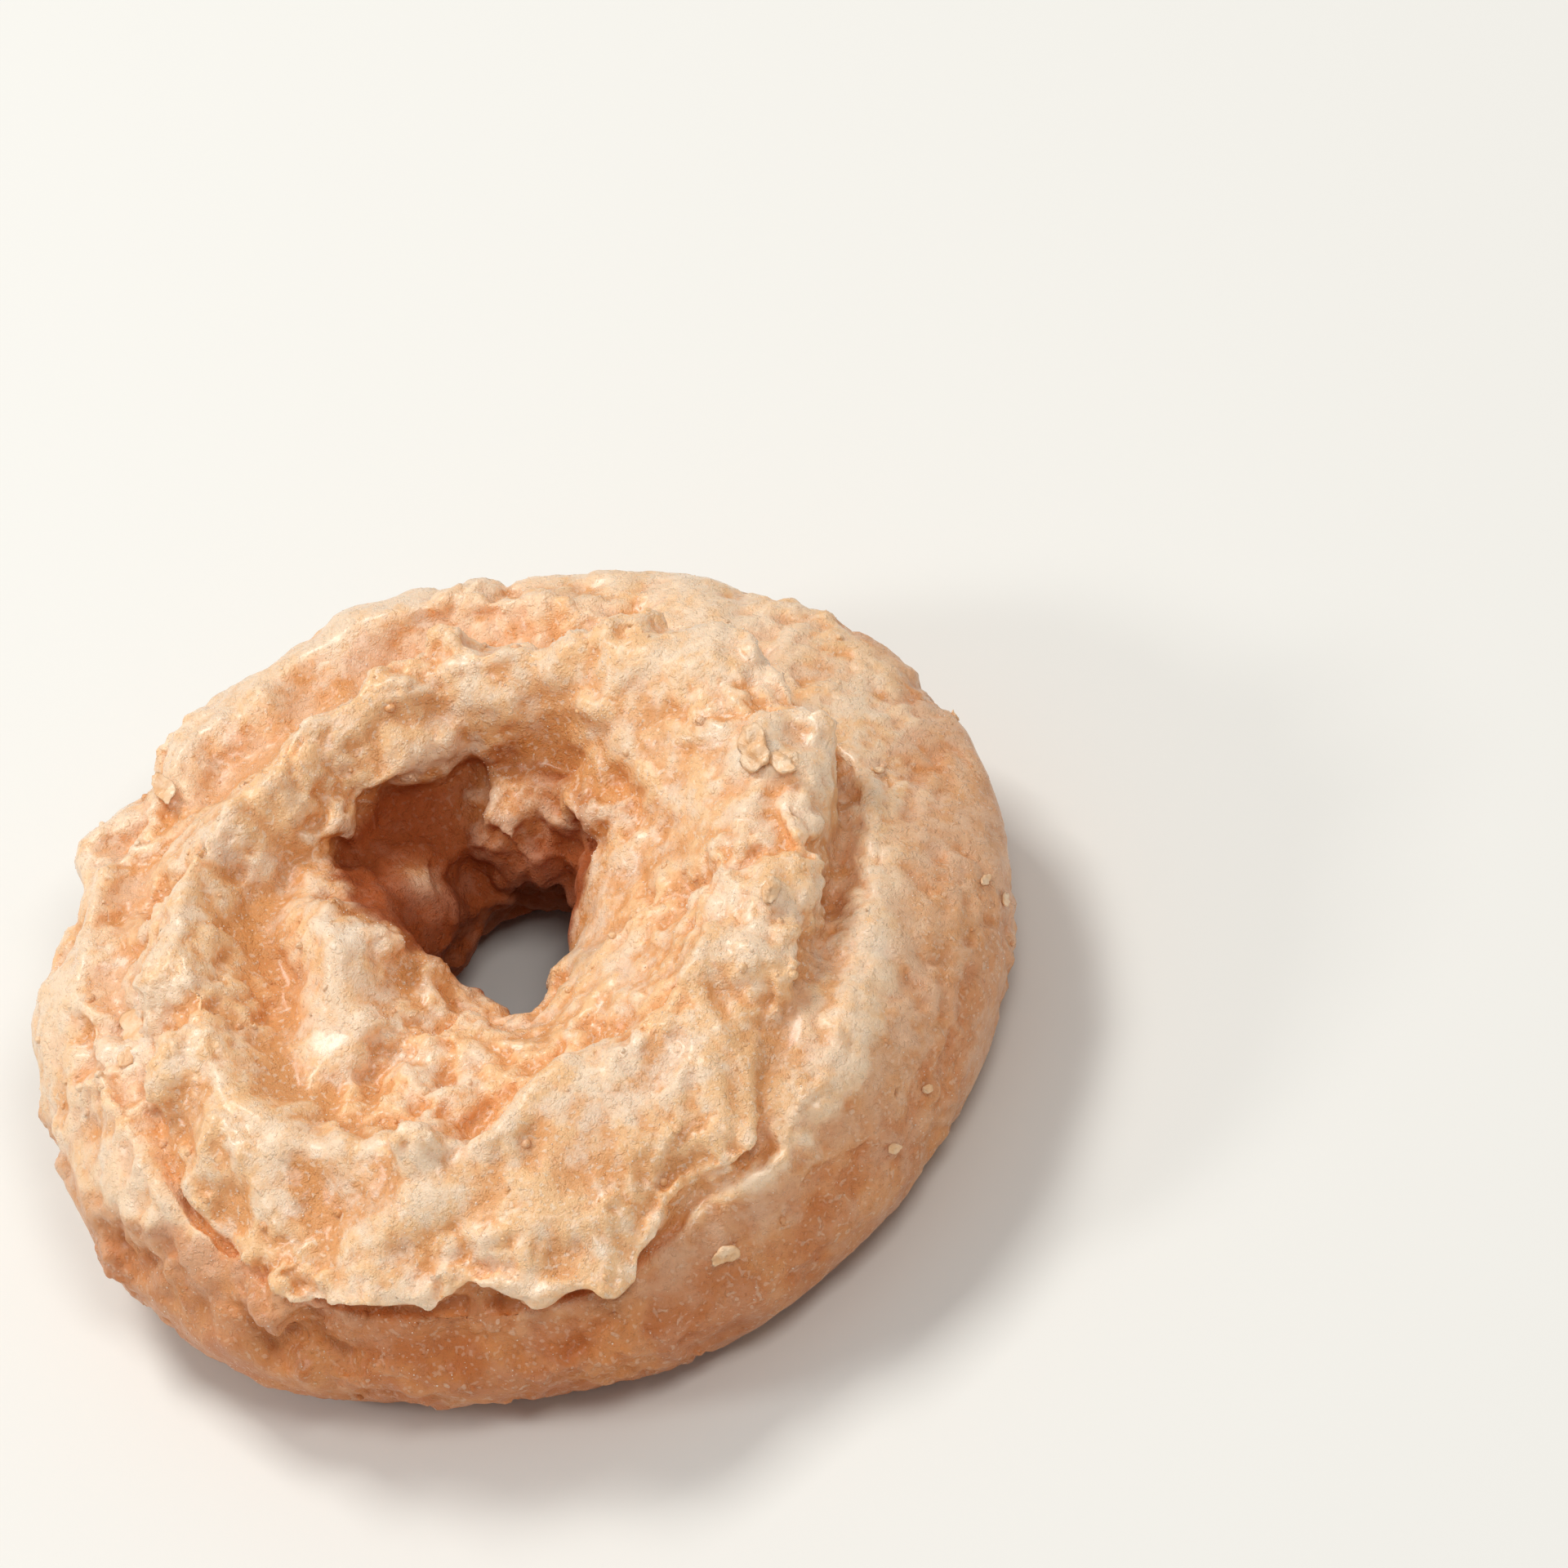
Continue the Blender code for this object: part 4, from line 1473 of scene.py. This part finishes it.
        # Valleys and hollows raise the tone: painted shade in the creases; the drift and speck below add
        # random tone.
        tone_and_crease_shade = n.math("MULTIPLY_ADD", masks["valley"], 0.66, n.math("MULTIPLY", masks["hollow"], 0.30))
        tone_and_crease_shade = n.math("MULTIPLY_ADD", n.math("SUBTRACT", drift, 0.5), 0.4, tone_and_crease_shade)
        return n.math("MULTIPLY_ADD", n.math("SUBTRACT", speck, 0.5), 0.30, tone_and_crease_shade)

    def fried_colour(
        self, n: Nodes, place: Socket, speck: Socket, tone_and_crease_shade: Socket, masks: dict[str, Socket]
    ) -> Socket:
        """The dough's colour under the glaze, with painted shade in the creases, on the hole's rim, in listed
        spots and in the hole.

        Args:
            n: the material's nodes.
            place: where the patterns are read.
            speck: fine noise.
            tone_and_crease_shade: how golden the dough is, with painted shade in the creases.
            masks: the crust's masks.

        Returns:
            The colour.
        """
        brown = masks["brown"]
        # Cream on the bumps, pale, then golden in the hollows: painted light and shade by the tone, with its
        # random drift.
        colour = n.mix(n.step(tone_and_crease_shade, 0.22, 0.55), self.cream, self.pale)
        colour = n.mix(n.math("MULTIPLY", n.step(tone_and_crease_shade, 0.40, 0.80), 0.92), colour, self.golden_shade)
        shade = n.math("MULTIPLY_ADD", n.math("SUBTRACT", speck, 0.5), 0.8, brown)
        blotches = n.noise(place, self.blotch_scale, 2.0, 0.6)
        blotch = n.mix(n.step(blotches, 0.42, 0.66), self.brown, self.tan)
        # The base's own brown, which at the front and left also stands in for shade.
        baked_and_shade = n.math("MULTIPLY", n.math("MULTIPLY", brown, 0.95), n.step(shade, 0.0, 0.6))
        colour = n.mix(baked_and_shade, colour, blotch)
        # Painted shade on the hole's rim and in listed spots, and the toasted back of the skirt.
        colour = n.mix(n.math("MULTIPLY", masks["toast_and_shade"], n.step(speck, 0.15, 0.6)), colour, self.toast_shade_colour)
        # Painted shade in the hole.
        return n.mix(n.math("MULTIPLY", masks["hole_shade"], 0.97), colour, self.dark)

    def milk_and_glint_cover(
        self, n: Nodes, place: Socket, grain: Socket, tone_and_crease_shade: Socket, masks: dict[str, Socket]
    ) -> Socket:
        """How milky the dried glaze makes the dough look, with painted glints on grains and dots of the pale
        bumps.

        Args:
            n: the material's nodes.
            place: where the patterns are read.
            grain: how much a grain of crumb shows.
            tone_and_crease_shade: how golden the dough is, with painted shade in the creases.
            masks: the crust's masks.

        Returns:
            A number from 0 to 1.
        """
        brown = masks["brown"]
        cover = n.math("MULTIPLY_ADD", masks["valley"], -0.25, 0.60)
        film = n.group("glaze_film", place, Cover=cover)
        milk_and_glint = n.math("MULTIPLY", film.outputs["Film"], n.math("MULTIPLY_ADD", brown, -0.50, 0.60))
        # Painted glints: bright specks on the grains, and dots kept to the pale bumps.
        grain_glints = n.math("MULTIPLY", grain, n.math("MULTIPLY_ADD", brown, -0.2, 0.42))
        glint_dots = n.math("MULTIPLY", film.outputs["Glint Dots"], n.math("MULTIPLY_ADD+", tone_and_crease_shade, -0.6, 0.36))
        milk_and_glint = n.math("MAXIMUM", milk_and_glint, n.math("MAXIMUM", grain_glints, glint_dots))
        # Whitish patches of dried glaze, with a painted reflection on the glazed lump.
        patches = n.step(n.noise(place, self.patch_scale, 2.0, 0.6), 0.38, 0.62)
        patch = n.math("MULTIPLY", n.math("MULTIPLY", masks["glaze_and_glint"], patches), 0.85)
        milk_and_glint = n.math("MAXIMUM", milk_and_glint, patch)
        return n.math("MULTIPLY", milk_and_glint, n.math("MULTIPLY_ADD", masks["hole_shade"], -0.9, 1.0))


@dataclass(frozen=True)
class Lamp:
    """One soft lamp that faces the doughnut (metres and watts)."""

    name: str
    place: tuple[float, float, float]
    power: float
    size: float
    colour: tuple[float, float, float]

    def hang(self) -> bpy.types.Object:
        """Hangs the lamp.

        Returns:
            The lamp.
        """
        data = bpy.data.lights.new(self.name, "AREA")
        data.energy, data.size, data.color = self.power, self.size, self.colour
        lamp = bpy.data.objects.new(self.name, data)
        lamp.location = self.place
        lamp.rotation_euler = Vector(self.place).to_track_quat("Z", "Y").to_euler()
        bpy.context.scene.collection.objects.link(lamp)
        return lamp


@dataclass
class Studio:
    """Pale floor, soft light and the camera (metres, degrees and watts)."""

    elevation: float = 46.0
    roll: float = 25.0
    distance: float = 3.0
    sensor: float = 36.0
    picture_width: float = 0.14296
    aim_right: float = 0.02874
    aim_up: float = 0.00552
    ring_height: float = 0.015
    offset: tuple[float, float] = (0.00025, -0.00051)
    sky_strength: float = 0.32
    floor_colour: Colour = (0.84, 0.83, 0.78, 1.0)
    floor_roughness: float = 0.7
    floor_radius: float = 3.0
    sky_colour: Colour = (0.96, 0.97, 1.0, 1.0)
    lamps: Sequence[Lamp] = (
        Lamp("key", (-0.16, 0.44, 0.84), 4.7, 0.30, (1.0, 0.985, 0.96)),
        Lamp("front_fill", (0.18, -0.48, 0.84), 2.65, 0.26, (1.0, 0.98, 0.96)),
        Lamp("left_sparkle", (-0.7, 0.1, 0.5), 1.6, 0.16, (1.0, 1.0, 1.0)),
    )
    bounces: dict[str, int] = field(
        default_factory=lambda: {
            "max": 4, "diffuse": 3, "glossy": 2, "transmission": 2, "transparent_max": 4,
        }
    )

    def camera(self) -> bpy.types.Object:
        """Places the camera at the photograph's angle, turned as it is.

        Returns:
            The camera.
        """
        lift = math.radians(self.elevation)
        back = Vector((0.0, -math.cos(lift), math.sin(lift)))
        right = Vector((1.0, 0.0, 0.0))
        up = back.cross(right)
        data = bpy.data.cameras.new("camera")
        data.sensor_width = self.sensor
        data.lens = self.sensor * self.distance / self.picture_width
        data.clip_start, data.clip_end = 0.01, 20.0
        camera = bpy.data.objects.new("camera", data)
        bpy.context.scene.collection.objects.link(camera)
        aim = Vector((self.offset[0], self.offset[1], self.ring_height))
        aim += right * self.aim_right + up * self.aim_up
        turn = back.to_track_quat("Z", "Y").to_matrix().to_4x4()
        rolled = turn @ Matrix.Rotation(math.radians(-self.roll), 4, "Z")
        camera.matrix_world = Matrix.Translation(aim + back * self.distance) @ rolled
        bpy.context.scene.camera = camera
        return camera

    def floor(self) -> bpy.types.Object:
        """Lays a plain pale floor under the doughnut.

        Returns:
            The floor.
        """
        mesh = bpy.data.meshes.new("floor")
        sheet = bmesh.new()
        bmesh.ops.create_circle(sheet, cap_ends=True, radius=self.floor_radius, segments=64)
        sheet.to_mesh(mesh)
        sheet.free()
        floor = bpy.data.objects.new("floor", mesh)
        bpy.context.scene.collection.objects.link(floor)
        material = bpy.data.materials.new("pale_floor")
        material.use_nodes = True
        shader = material.node_tree.nodes["Principled BSDF"]
        shader.inputs["Base Color"].default_value = self.floor_colour
        shader.inputs["Roughness"].default_value = self.floor_roughness
        mesh.materials.append(material)
        return floor

    def build(self) -> None:
        """Sets up the whole studio."""
        self.floor()
        for lamp in self.lamps:
            lamp.hang()
        world = bpy.data.worlds.new("studio")
        world.use_nodes = True
        sky = world.node_tree.nodes["Background"]
        sky.inputs["Color"].default_value = self.sky_colour
        sky.inputs["Strength"].default_value = self.sky_strength
        bpy.context.scene.world = world
        bpy.context.scene.view_settings.view_transform = "Standard"
        for path, bounces in self.bounces.items():
            setattr(bpy.context.scene.cycles, f"{path}_bounces", bounces)
        self.camera()


def main() -> None:
    """Builds every piece in order and reports each one."""
    logging.basicConfig(level=logging.INFO, format="%(name)s: %(message)s")
    crumb_group()
    film_group()
    Studio().build()
    crust = Crust().build()
    crust.data.materials.clear()
    crust.data.materials.append(DoughFinish().material())
    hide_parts(CAD_NODE)
    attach(crust, "root")
    flakes = GlazeFlakes().build(crust)
    flakes.data.materials.append(GlazeFinish("dried_glaze").material())
    crumbs = Scatter(
        "dough_crumbs", count=160, smallest=0.20, largest=0.55, subdivisions=2, sunk=0.55, seed=301
    ).build(crust)
    crumbs.data.materials.append(DoughFinish("loose_crumb", subsurface=0.0).material())
    beads = Scatter(
        "glaze_beads", count=5000, smallest=0.05, largest=0.10, subdivisions=1, sunk=0.4, seed=305
    ).build(crust)
    bead = GlazeFinish("glaze_bead", colour=(0.95, 0.82, 0.70, 1.0), roughness=0.25)
    beads.data.materials.append(bead.material())
    for piece in (flakes, crumbs, beads):
        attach(piece, "root")
    for piece in (crust, flakes, crumbs, beads):
        LOG.info("%s: %d triangles", piece.name, sum(len(f.vertices) - 2 for f in piece.data.polygons))


if __name__ == "__main__":
    main()
